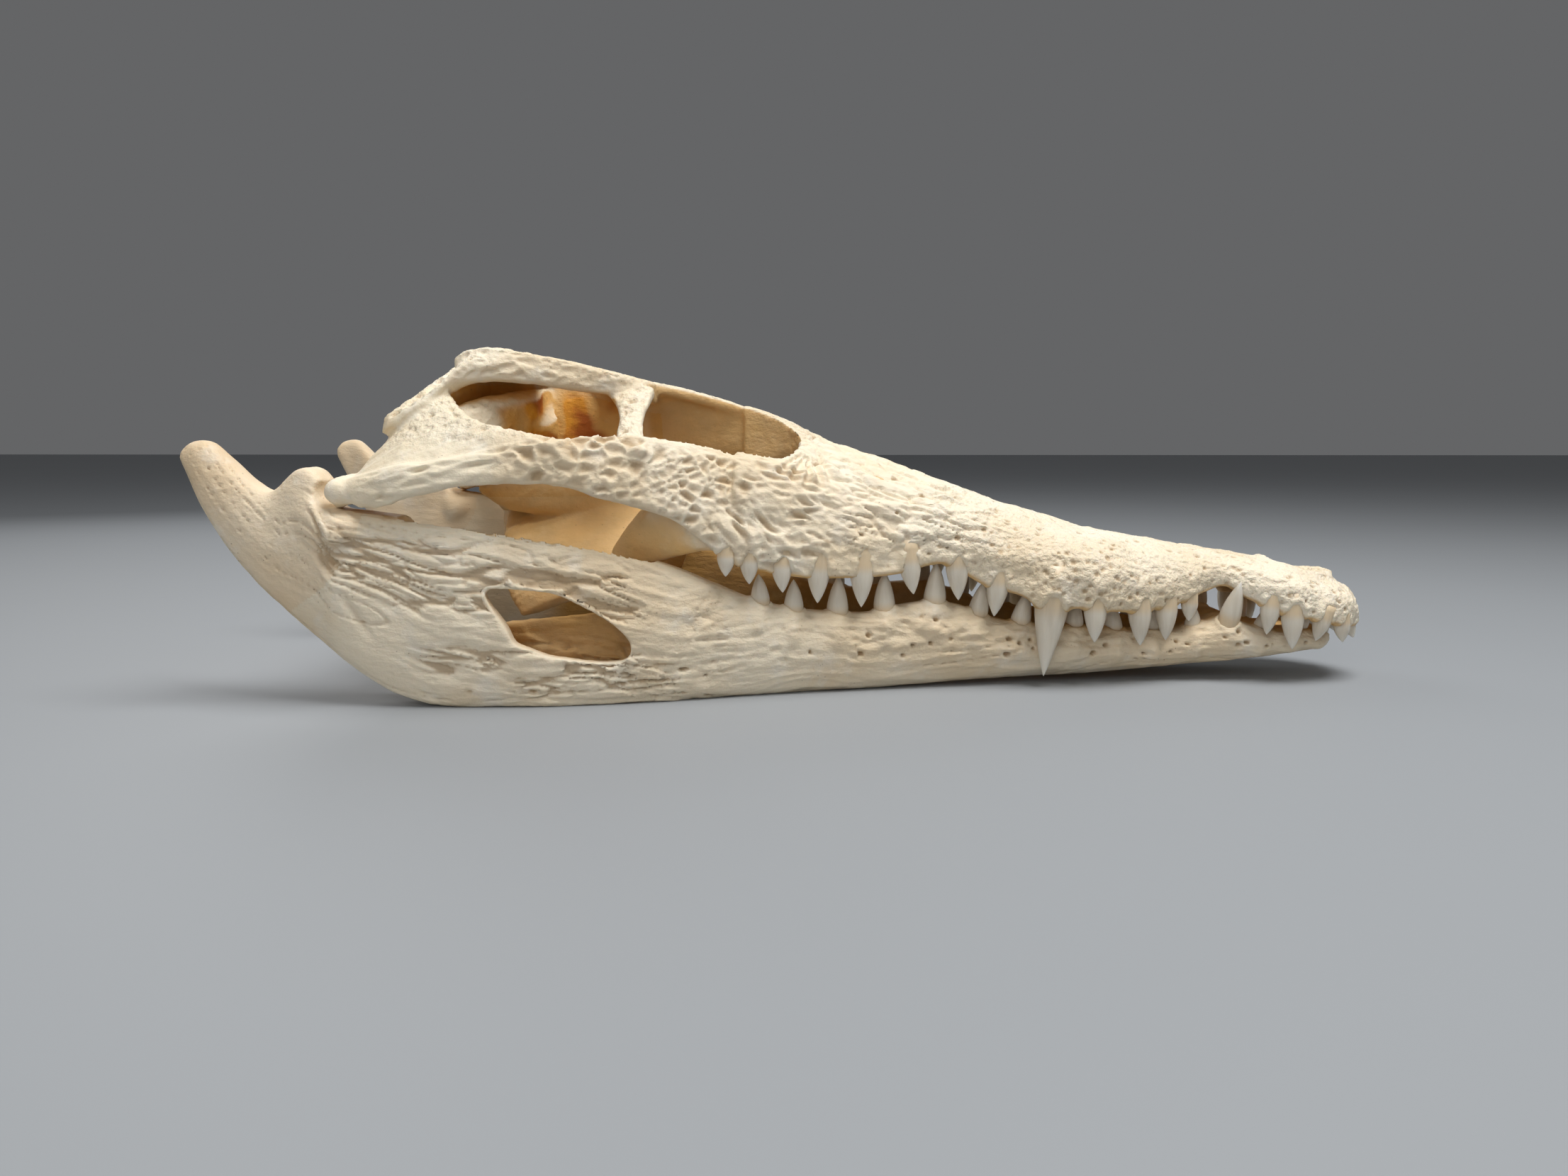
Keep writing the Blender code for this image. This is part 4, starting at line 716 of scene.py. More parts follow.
def pits(points, size, radius, chance, seed):
    """Bowls at some of the scattered centres: how deep, from 0 to 1. The cells have this size in
    millimetres, radius is a share of a cell, and chance is the share of cells that have a bowl."""
    first, _, number = cells(points / np.array(size), seed)
    reach = radius * (0.6 + 0.8 * np.mod(number * 17.3, 1))
    bowl = np.clip(1 - first / reach, 0, 1)
    return np.where(number < chance, bowl * bowl * (3 - 2 * bowl), 0) * (0.6 + 0.4 * number)


def holes(points, low, high, *how):
    """Pits with steep sides and an even floor."""
    return smooth(low, high, pits(points, *how))


def shaken(points, size, much, often, seed):
    """The points in units of size, each moved a little by smooth noise."""
    spots = points / np.array(size)
    return spots + much * np.stack([noise(spots * often, seed + a) for a in range(3)], 1)


def netting(points, size, seed, sharp=0.75):
    """Bowls between thin sharp walls: how deep, from 0 on a wall to 1 in the middle of a bowl."""
    first, second, number = cells(shaken(points, size, 0.3, 1.4, seed + 20), seed, 0.9)
    return np.clip((second - first) / 0.72, 0, 1) ** sharp * (0.45 + 0.55 * number)


def broken(points, size, seed):
    """0 in some places and 1 in others, to break a pattern up."""
    return smooth(-0.3, 0.3, noise(points / size, seed))


def turned(points, degrees):
    """The points of the right and left side alike, turned in the upright plane along the skull."""
    c, s = math.cos(math.radians(degrees)), math.sin(math.radians(degrees))
    x, z = points[:, 0], points[:, 2]
    return np.stack((x * c - z * s, points[:, 1], x * s + z * c), 1)


def wavy(points, size, seed):
    """Long wandering grooves along X with crests between them, from 0 to 1."""
    warped = points / np.array(size)
    warped[:, 2] += 0.55 * noise(points / (size[0] * 0.9, size[2] * 3, size[2] * 3), seed + 1)
    return 1 - np.clip(np.abs(noise(warped, seed)) * 2.2, 0, 1)


def bark(points, size, seed):
    """Long plates parted by thin wandering cracks: 1 in a crack, a little less deep on low plates."""
    first, second, number = cells(shaken(points, size, 0.24, 1.6, seed + 30), seed, 0.95)
    crack = 1 - smooth(0.02, 0.24, second - first)
    return crack * (0.35 + 0.65 * smooth(0.2, 0.6, number)) + 0.3 * number


class Skin:
    """A fused form as arrays in millimetres: points, normals, faces and how open each point lies."""

    def __init__(self, obj):
        mesh = obj.data
        count = len(mesh.vertices)
        points = np.empty(count * 3, np.float32)
        mesh.vertices.foreach_get("co", points)
        normals = np.empty(count * 3, np.float32)
        mesh.vertex_normals.foreach_get("vector", normals)
        corners = np.empty(len(mesh.loops), np.int32)
        mesh.loops.foreach_get("vertex_index", corners)
        self.points = points.reshape(-1, 3).astype(float) / MM
        self.normals = normals.reshape(-1, 3).astype(float)
        self.faces = corners.reshape(-1, 4)
        self.keep_largest()
        self.open = None
        self.marks = {}
        bpy.data.objects.remove(obj)

    def keep_largest(self):
        """Drops loose scraps."""
        label = np.arange(len(self.points))
        a = self.faces.reshape(-1)
        b = np.roll(self.faces, 1, axis=1).reshape(-1)
        while True:
            low = np.minimum(label[a], label[b])
            fresh = label.copy()
            np.minimum.at(fresh, a, low)
            np.minimum.at(fresh, b, low)
            fresh = fresh[fresh]
            if (fresh == label).all():
                break
            label = fresh
        kept = label == np.bincount(label).argmax()
        number = np.cumsum(kept) - 1
        self.faces = number[self.faces[kept[self.faces[:, 0]]]]
        self.points, self.normals = self.points[kept], self.normals[kept]

    def renew_normals(self):
        """Normals from the faces as they now lie."""
        a, b, c, d = (self.points[self.faces[:, k]] for k in range(4))
        face = np.cross(c - a, d - b)
        total = np.zeros_like(self.points)
        for k in range(4):
            for axis in range(3):
                total[:, axis] += np.bincount(self.faces[:, k], face[:, axis], len(total))
        self.normals = total / np.maximum(np.linalg.norm(total, axis=1), 1e-9)[:, None]

    def push(self, out):
        """Moves every point along its normal, in millimetres."""
        self.points = self.points + self.normals * out[:, None]


def openness(skins, whole):
    """How much of the air round each point is free, from rays off a coarser copy."""
    rays = []
    for k in range(RAYS):
        z = 1 - (k + 0.5) / RAYS
        flat, turn = math.sqrt(1 - z * z), RAY_TURN * k
        rays.append((flat * math.cos(turn), flat * math.sin(turn), z))
    coarse = Skin(whole)
    tree = BVHTree.FromPolygons([tuple(p) for p in coarse.points],
                                [tuple(int(i) for i in f) for f in coarse.faces])
    near = KDTree(len(coarse.points))
    share = np.zeros(len(coarse.points))
    for i, (point, normal) in enumerate(zip(coarse.points, coarse.normals)):
        up = Vector(normal)
        side = up.orthogonal().normalized()
        over = up.cross(side)
        start = Vector(point) + up * RAY_START
        free = weight = 0.0
        for x, y, z in rays:
            way = side * x + over * y + up * z
            hit = tree.ray_cast(start, way, RAY_REACH)[3]
            free += z * (1.0 if hit is None else min(1.0, hit / RAY_REACH) ** 2)
            weight += z
        share[i] = free / weight
        near.insert(start, i)
    near.balance()
    for skin in skins:
        found = np.empty(len(skin.points))
        for i, spot in enumerate(skin.points + skin.normals * RAY_START):
            total = weight = 0.0
            for _, index, distance in near.find_n(spot, 3):
                w = 1 / (distance + 0.2)
                total += share[index] * w
                weight += w
            found[i] = total / weight
        skin.open = found


def sockets(skin, teeth, bulge):
    """Raises the bone round each tooth and along its root."""
    out = np.zeros(len(skin.points))
    for base, tip, radius in teeth:
        way = (tip - base) / np.linalg.norm(tip - base)
        near = np.abs(skin.points[:, 0] - base[0]) < radius + 6
        near &= np.abs(skin.points[:, 1] - base[1]) < radius + 8
        apart = skin.points[near] - base
        along = apart @ way
        across = np.linalg.norm(apart - along[:, None] * way, axis=1)
        lip = np.exp(-((across - radius - 1.2) / 1.0) ** 2) * band(along, -2, 3.5, 1.4) * 0.8
        moat = (1 - smooth(radius - 0.2, radius + 0.5, across)) * band(along, -2.5, 4, 1) * 0.9
        root = np.exp(-((apart[:, 0] - way[0] * along) / (radius * 1.1)) ** 2) * band(along, -10, 0, 2.5)
        root *= smooth(0.25, 0.7, np.sign(base[1]) * skin.normals[near, 1])
        out[near] += lip - moat + root * bulge
    return out


def suture(distance, points, seed):
    """A thin wandering groove where distance is nothing."""
    wander = distance + 1.3 * noise(points / 3.6, seed) + 0.6 * noise(points / 1.5, seed + 1)
    return 0.3 * np.exp(-(wander / 0.5) ** 2)


# In what follows, out is millimetres added along the normal and depth is millimetres taken away.
# Each pattern is given as how deep it goes, its kind, the size of its cells, its shape and a seed.


def sculpt_snout(skin, shell):
    """Knobs, wrinkles and small pits of the snout, and the pitted bosses over the longest tooth."""
    p, n = skin.points, skin.normals
    x, z = p[:, 0], p[:, 2]
    side_part = smooth(0.15, 0.5, np.abs(n[:, 1]))
    part = smooth(-14, 6, x) * shell
    fore = part * smooth(50, 80, x)
    grand = noise(p / (22, 14, 14), 3)
    out = part * (0.65 * noise(p / (10, 7, 7), 40) + 0.22 * noise(p / (4.4, 3.2, 3.2), 41))
    out += fore * 0.35 * (wavy(p, (7.5, 3.2, 3.2), 42) - 0.45)
    depth = on(fore * (0.7 + 0.3 * grand), p, 0.6, netting, (4.2, 3.0, 3.0), 30)
    dark = on(fore, p, 1.3, pits, (3.8, 3.0, 3.0), 0.42, 0.65, 50)
    boss = np.exp(-((x - 96) / 24) ** 2) * band(z, 31, 54, 6) * side_part * part
    hump = np.exp(-((x - 62) / 9) ** 2) * band(z, 48, 60, 4) * side_part * part
    out += 1.5 * boss + 1.2 * hump
    dark += on(np.clip(boss + hump, 0, 1), p, 1.6, pits, (3.4, 2.7, 2.7), 0.44, 0.85, 60)
    # long waves, crests and dashes of the cheek side before the orbit
    rear = part * (1 - smooth(54, 82, x))
    low = rear * (1 - smooth(54, 64, z)) * side_part
    bent = turned(p, 12)
    out += rear * 0.8 * (wavy(bent, (20, 6, 4.6), 44) - 0.45) * smooth(48, 60, z)
    out += rear * 0.3 * (wavy(bent, (13, 3, 2.4), 46) - 0.45)
    depth += on(rear * smooth(46, 56, z), bent, 1.1, bark, (15, 4.6, 3.4), 48)
    dark += on(low, bent, 1.3, pits, (5.2, 3, 2.1), 0.4, 0.45, 52)
    dark += on(part, p, 1.4, holes, 0.1, 0.7, (7.5, 6, 6), 0.19, 0.6, 54)
    return out, depth, dark


def sculpt_cheek(skin, shell):
    """Nets of the cheek arch, slanting feathers in front and long dashes behind."""
    p, n = skin.points, skin.normals
    x, y, z = p[:, 0], np.abs(p[:, 1]), p[:, 2]
    side = np.sign(p[:, 1])
    arch_out, arch_top = through(ARCH_OUT)(x), through(ARCH_TOP)(x)
    cheek = smooth(-10, -5, y - arch_out) * smooth(0.05, 0.4, n[:, 1] * side) * shell
    cheek *= 1 - smooth(-1, 2.5, z - arch_top)
    upper = smooth(-13, -6, z - arch_top)
    feather = cheek * np.exp(-(((x + 21) / 13) ** 2 + ((z - 60) / 9) ** 2) ** 1.5)
    net = cheek * band(x, -96, -22, 11) * (1 - 0.85 * feather)
    net = net * (1 - 0.75 * band(z - arch_top, -3.6, 3, 0.9) * smooth(-58, -40, x))
    big = smooth(-0.5, 0.5, noise(p / 13, 81) - 0.2 + 0.6 * upper)
    depth = on(net * big, p, 3.3, netting, (6.6, 5.0, 4.4), 80)
    depth += on(net * (1 - big), p, 2.7, netting, (5.2, 3.8, 3.4), 84)
    out = 1.5 * net
    slant = turned(p, 50)
    depth += on(feather, slant, 2.6, netting, (9.5, 3.2, 2.5), 88, 0.9)
    out += 0.9 * feather
    front = cheek * smooth(-30, -16, x) * (1 - smooth(2, 22, x)) * (1 - feather)
    depth += on(front, turned(p, 14), 2.1, netting, (10, 3.8, 3.0), 92, 0.85)
    out += 0.8 * front
    dash = cheek * smooth(-152, -140, x) * (1 - smooth(-98, -84, x))
    slope = turned(p, -10)
    depth += on(dash, slope, 1.7, netting, (13, 3.4, 2.9), 90, 1.2) * broken(slope, (12, 5, 4), 93)
    out += 0.6 * dash * (wavy(slope, (18, 3.0, 2.3), 94) - 0.4)
    # ribs that spread from the knob at the front corner of the orbit
    spread = np.hypot(x - 1, (z - 88) * 1.1)
    turn = np.arctan2(z - 88, x - 1)
    fan = shell * band(spread, 5, 15, 3) * (1 - smooth(-0.9, 0.3, turn)) * smooth(-2.9, -2.4, turn)
    out += 0.9 * fan * np.cos(turn * 17 + 1.4 * noise(p / 5, 96))
    out += 1.2 * shell * np.exp(-(spread / 4.5) ** 2)
    return out, depth, cheek, np.clip(net + feather + front, 0, 1)


def sculpt_cranium(skin, teeth):
    """Pits, nets, fibres and seams of the upper skull."""
    p, n, free = skin.points, skin.normals, skin.open
    x, y, z = p[:, 0], np.abs(p[:, 1]), p[:, 2]
    shell = smooth(0.36, 0.56, free) * smooth(-0.75, -0.35, n[:, 2])
    out = 0.25 * noise(p / 14, 4) * shell + 0.12 * noise(p / 5, 5)
    more_out, depth, dark = sculpt_snout(skin, shell)
    out += more_out
    more_out, more_depth, cheek, netted = sculpt_cheek(skin, shell)
    out += more_out
    depth = (depth + dark) * (1 - netted) + more_depth
    # frontal and table
    roof = smooth(0.45, 0.8, n[:, 2]) * shell * (1 - smooth(4, 14, x)) * smooth(86, 92, z)
    depth += on(roof, p, 1.5, pits, (4.8, 4.2, 4.2), 0.52, 0.86, 70)
    depth += on(roof, p, 0.5, netting, (3, 3, 3), 72)
    edge = band(x, -122, -58, 5) * smooth(33, 37, y) * smooth(106, 110, z) * shell
    depth += on(edge * (1 - roof), p, 1.3, netting, (5.4, 3.2, 3.2), 75)
    # smooth plate with fine lines behind, and a grain on what lies inside
    plate = smooth(-92, -104, x) * (1 - cheek) * shell
    out += 0.4 * plate * (wavy(turned(p, -38), (16, 3.4, 2.4), 14) - 0.4)
    depth += on(plate, p, 0.5, pits, (6, 4, 4), 0.28, 0.3, 97)
    within = (1 - shell) * smooth(-40, -60, x)
    out += 0.3 * within * (wavy(turned(p, 60), (20, 6, 5), 98) - 0.4)
    depth += on(1 - shell, p, 0.7, pits, (12, 12, 12), 0.13, 0.5, 99)
    # seams between the bones
    snout_part = smooth(-28, -8, x) * shell
    depth += suture(x - 153 - 5 * noise(p / 12, 15), p, 16) * snout_part
    nasal = y - 8.5 - 0.03 * (150 - x)
    depth += suture(nasal, p, 18) * snout_part * smooth(0.5, 0.8, n[:, 2]) * band(x, 20, 172, 4)
    depth += suture(x - 9 - 0.2 * y, p, 20) * smooth(0.3, 0.6, n[:, 2]) * shell * (1 - smooth(30, 34, y))
    depth += suture(x + 104 - (z - 80) * 1.5, p, 24) * cheek
    depth += suture(x + 66 + 0.1 * y, p, 26) * roof
    depth += suture(y - 24 + (x + 70) * 0.1, p, 28) * roof * smooth(-62, -70, x)
    out += sockets(skin, teeth, 1.0) * smooth(-40, -30, x)
    # Painted shade: the deeper a pit, net cell or groove, the darker its colour.
    skin.marks["pit_shade"] = np.clip(depth * (0.3 + 0.12 * netted + 0.3 * roof) + dark * 0.85, 0, 1)
    grain = shell * (0.2 + 0.8 * np.maximum(smooth(30, 60, x), roof))
    skin.marks["grain"] = np.clip(grain * (1 - netted), 0, 1)
    skin.push(out - depth)


def sculpt_jaw(skin, teeth, side, seed):
    """Cracks, dashes, small holes, sockets and grooves of one side of the lower jaw."""
    p, n, free = skin.points, skin.normals, skin.open
    x, z = p[:, 0], p[:, 2]
    top, base = through(JAW_TOP)(x), through(JAW_BASE)(x)
    height = np.clip((z - base) / np.maximum(top - base, 1), 0, 1)
    flow = np.stack((x, np.zeros(len(x)), height * np.clip(top - base, 16, 46)), 1)
    outer = smooth(0.1, 0.5, n[:, 1] * side) * smooth(0.2, 0.45, free)
    rear = outer * (1 - smooth(-42, -12, x)) * smooth(-172, -156, x)
    front = outer * smooth(-34, -8, x)
    out = 0.3 * noise(p / 15, seed) * outer + 0.12 * noise(p / 5, seed + 1)
    bent = flow + np.stack((0 * x, 0 * x, 2.6 * noise(flow / (24, 1, 12), seed + 2)), 1)
    upper = rear * smooth(0.44, 0.56, height) * (1 - 0.7 * smooth(0.86, 0.96, height))
    lower = rear * band(height, 0.04, 0.36, 0.06) * smooth(-138, -122, x)
    wide = smooth(-0.5, 0.1, noise(flow / (24, 1, 10), seed + 3))
    narrow = smooth(-0.5, 0.1, noise(flow / (18, 1, 6), seed + 9))
    barked = np.clip(upper * wide + lower * narrow, 0, 1)
    depth = on(barked, bent, 1.4, bark, (30, 4.6, 4.4), seed + 5)
    depth += on(barked, bent, 0.8, bark, (17, 3.4, 2.6), seed + 8)
    # Painted shade where the cracks run deep.
    dark = 0.75 * smooth(0.7, 1.7, depth)
    out += 0.5 * barked
    depth += on(outer * 0.5, bent, 0.6, bark, (34, 5.4, 3.4), seed + 13) * smooth(-150, -120, x)
    hind_less = 0.3 + 0.7 * smooth(-150, -110, x)
    out += 0.36 * outer * (wavy(bent, (28, 3.4, 2.8), seed + 12) - 0.4) * hind_less
    level = bent * (1, 0, 1) + (0, 2.5, 0)
    small = on(rear * (1 - smooth(0.25, 0.45, height)), level,
               1.7, holes, 0.1, 0.6, (9, 5, 3.6), 0.3, 0.45, seed + 11)
    # shallow dish and slit under the joint
    slit = np.exp(-((x + 150 + (z - 32) * 0.62) / 1.8) ** 2) * band(z, 26, 38, 4) * outer
    depth += 0.9 * slit
    out -= 1.0 * np.exp(-(((x + 140) / 12) ** 2 + ((z - 34) / 12) ** 2)) * outer
    # dentary: fine lines, a row of small holes under the rim, and waves round the sockets
    depth += on(front * smooth(0.35, 0.5, height), level,
                1.2, pits, (6.5, 5, 2.6), 0.4, 0.5, seed + 16)
    row = outer * smooth(-20, 10, x) * band(height, 0.4, 0.84, 0.06)
    small += on(row, level, 2.0, holes, 0.12, 0.6, (5.4, 5, 4.2), 0.36, 0.85, seed + 19)
    depth += small
    waves = outer * band(x, 20, 112, 10) * band(height, 0.6, 0.96, 0.07)
    out += 1.0 * waves * noise(p / (7, 6, 3.4), seed + 21)
    depth += on(waves, bent, 1.3, netting, (7.5, 4.4, 3.6), seed + 22)
    crack = np.abs(noise(bent / (60, 1, 6), seed + 24))
    crack = (1 - smooth(0.0, 0.045, crack)) * outer * smooth(0.0, 0.4, noise(p / 30, seed + 23) + 0.3)
    depth += 0.9 * crack
    # seams: the bone with the teeth to the bones behind, and between the upper and lower of those
    step = np.where(z > 30, (z - 30) * 0.9, (z - 20) * 0.6)
    depth += suture((x + 40 - step) * 0.8, p, seed + 25) * outer
    line = z - 33 + (x + 100) * 0.12
    depth += suture(line, p, seed + 27) * outer * smooth(-104, -110, x) * smooth(-178, -168, x)
    out += sockets(skin, teeth, 1.2) * smooth(-30, -20, x)
    # Painted shade: darker colour in deep cracks, small holes and the slit under the joint.
    skin.marks["pit_shade"] = np.clip(dark + small * 0.7 + crack * 0.5 + slit * 0.4, 0, 1)
    skin.marks["grain"] = np.clip(outer * 0.2, 0, 1)
    skin.push(out - depth)


def stains_and_shade(skin, jaw):
    """Amber mixed with painted shade where a surface lies inside, faces in or down, or gets little air,
    and dark orange stain marks round the ear.
    """
    p, free = skin.points, skin.open
    x, y, z = p[:, 0], np.abs(p[:, 1]), p[:, 2]
    # Painted shade: darker amber where little air reaches a point.
    hidden = 1 - smooth(0.2, 0.58, free)
    if jaw:
        # Painted shade mixed with amber on the inner faces of the jaw and inside its opening.
        inner = smooth(-0.2, 0.4, -skin.normals[:, 1] * np.sign(p[:, 1]))
        inner *= 0.25 + 0.75 * smooth(-126, -106, x)
        within = smooth(4, 7, through(JAW_OUT)(x) - y) * band(x, -110, -56, 2) * band(z, 10, 43, 2)
        amber = np.maximum.reduce([hidden, inner, within])
        skin.marks["stain"] = np.zeros(len(p))
    else:
        # Amber mixed with painted shade in the ear, the orbit and the palate wings, and on faces that
        # look down under the table and the snout.
        flat = 1 - smooth(0.2, 0.55, skin.normals[:, 2])
        deep_in = np.where(z < 105, 1 - smooth(37, 41, y), 1 - smooth(29, 33, y))
        ear = band(x, -110, -62, 5) * deep_in * band(z, 74, 113, 3) * flat
        lid = smooth(0.3, 0.7, -skin.normals[:, 2]) * band(x, -120, -62, 5) * (1 - smooth(34, 40, y))
        eye = band(x, -62, 3, 4) * (1 - smooth(27, 33, y)) * band(z, 56, 112, 4) * flat
        wing = band(x, -126, -26, 5) * (1 - smooth(54, 59, y)) * (1 - smooth(72, 80, z))
        under = smooth(0.2, 0.7, -skin.normals[:, 2]) * smooth(-30, -20, x)
        amber = np.maximum.reduce([hidden, ear, 0.6 * lid, 0.9 * eye, 0.9 * wing, 0.9 * under])
        amber = np.clip(amber, 0, 1)
        mark = np.exp(-((x + 94) / 19) ** 2 - ((z - 97) / 11) ** 2) * np.maximum(ear, 0.4 * lid)
        skin.marks["stain"] = np.clip(2.6 * mark * smooth(-0.45, 0.2, noise(p / 8, 33)), 0, 0.97)
    skin.marks["amber"] = amber


def skin_pieces(skin, nodes):
    """Parts a skin by the solid that each face lies nearest, and gives each part its name."""
    points, faces, owner = [], [], []
    for number, name in enumerate(nodes):
        mesh = frame["nodes"][name].data
        matrix = frame["nodes"][name].matrix_world
        mesh.calc_loop_triangles()
        start = len(points)
        points += [matrix @ v.co / MM for v in mesh.vertices]
        for triangle in mesh.loop_triangles:
            faces.append([start + i for i in triangle.vertices])
            owner.append(number)
    tree = BVHTree.FromPolygons(points, faces)
    skin.renew_normals()
    stood = skin.points + MOVE
    middles = stood[skin.faces].mean(axis=1)
    of_face = np.array([owner[tree.find_nearest(m)[2]] for m in middles])
    made = []
    for number, name in enumerate(nodes):
        piece = one_piece("bone_" + name, skin, stood, skin.faces[of_face == number])
        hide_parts(name)
        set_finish(piece, slot_of[name])
        made.append(piece)
    return made


def one_piece(title, skin, stood, faces):
    """A mesh of some of a skin's faces, with the whole skin's normals and marks."""
    used = np.unique(faces)
    number = np.full(len(stood), -1)
    number[used] = np.arange(len(used))
    mesh = bpy.data.meshes.new(title)
    mesh.from_pydata((stood[used] * MM).tolist(), [], number[faces].tolist())
    mesh.normals_split_custom_set_from_vertices(skin.normals[used].tolist())
    marks = dict(skin.marks, open=skin.open)
    for key, values in marks.items():
        stored = mesh.attributes.new(key, "FLOAT", "POINT").data
        stored.foreach_set("value", values[used].astype(np.float32))
    obj = placed(title, mesh)
    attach(obj, "root")
    return obj


def teeth_piece(title, teeth, nodes):
    """All teeth of one jaw as one mesh, marked by how near each point is to the root."""
    points, faces, crown = [], [], []
    for base, tip, radius in teeth:
        rings, shares = tooth_form(base, tip, radius * TOOTH_GROWN, random.uniform(-0.12, 0.2))
        solid_points, solid_faces = ring_solid(rings)
        faces += [[i + len(points) for i in f] for f in solid_faces]
        points += solid_points
        crown += [s for s in shares for _ in range(TOOTH_STEPS)] + [shares[0], 1.0]
    mesh = bpy.data.meshes.new(title)
    mesh.from_pydata(((np.array(points) + MOVE) * MM).tolist(), [], faces)
    form = bmesh.new()
    form.from_mesh(mesh)
    bmesh.ops.recalc_face_normals(form, faces=form.faces)
    form.to_mesh(mesh)
    form.free()
    mesh.shade_smooth()
    stored = mesh.attributes.new("crown", "FLOAT", "POINT").data
    stored.foreach_set("value", np.array(crown, np.float32))
    obj = placed(title, mesh)
    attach(obj, "root")
    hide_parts(*nodes)
    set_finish(obj, "tooth")
    return obj


class Nodes:
    """One material. Most methods add a node and return its output."""

    def __init__(self, name):
        self.made = bpy.data.materials.new(name)
        self.made.use_nodes = True
        self.tree = self.made.node_tree
        self.shader = self.tree.nodes["Principled BSDF"]
        place = self.tree.nodes.new("ShaderNodeTexCoord")
        self.place = place.outputs["Object"]

    def link(self, source, target):
        """Joins an output to an input."""
        self.tree.links.new(source, target)

    def mark(self, name):
        """A value stored on the mesh."""
        node = self.tree.nodes.new("ShaderNodeAttribute")
        node.attribute_name = name
        return node.outputs["Fac"]

    def stretched(self, scale):
        """Places on the object, drawn out along an axis by a scale below one."""
        node = self.tree.nodes.new("ShaderNodeMapping")
        node.inputs["Scale"].default_value = scale
        self.link(self.place, node.inputs["Vector"])
        return node.outputs["Vector"]

    def noise(self, scale, detail=4.0, rough=0.5, stretch=None):
        """Smooth noise, with scale in waves for each metre."""
        node = self.tree.nodes.new("ShaderNodeTexNoise")
        node.inputs["Scale"].default_value = scale
        node.inputs["Detail"].default_value = detail
        node.inputs["Roughness"].default_value = rough
        self.link(self.stretched(stretch) if stretch else self.place, node.inputs["Vector"])
        return node.outputs["Fac"]

    def cells(self, scale):
        """How far each point is from the nearest of scattered centres."""
        node = self.tree.nodes.new("ShaderNodeTexVoronoi")
        node.inputs["Scale"].default_value = scale
        self.link(self.place, node.inputs["Vector"])
        return node.outputs["Distance"]

    def between(self, value, low, high, first=0.0, last=1.0):
        """A value mapped from low..high to first..last."""
        node = self.tree.nodes.new("ShaderNodeMapRange")
        node.interpolation_type = "SMOOTHSTEP"
        for key, number in (("From Min", low), ("From Max", high), ("To Min", first), ("To Max", last)):
            node.inputs[key].default_value = number
        self.link(value, node.inputs["Value"])
        return node.outputs["Result"]

    def times(self, a, b):
        """One value times another. Either may be a plain number."""
        node = self.tree.nodes.new("ShaderNodeMath")
        node.operation = "MULTIPLY"
        for socket, value in zip(node.inputs, (a, b)):
            if isinstance(value, (int, float)):
                socket.default_value = value
            else:
                self.link(value, socket)
        return node.outputs[0]

    def mix(self, share, a, b):
        """One colour into another. Either may be a plain colour."""
        node = self.tree.nodes.new("ShaderNodeMix")
        node.data_type = "RGBA"
        self.link(share, node.inputs[0])
        for socket, value in ((node.inputs[6], a), (node.inputs[7], b)):
            if isinstance(value, tuple):
                socket.default_value = (*value, 1)
            else:
                self.link(value, socket)
        return node.outputs[2]

    def bump(self, height, distance, under=None):
        """A fine relief that many metres deep, over another where one is given."""
        node = self.tree.nodes.new("ShaderNodeBump")
        node.inputs["Distance"].default_value = distance
        node.inputs["Strength"].default_value = 1.0
        self.link(height, node.inputs["Height"])
        if under:
            self.link(under, node.inputs["Normal"])
        return node.outputs["Normal"]


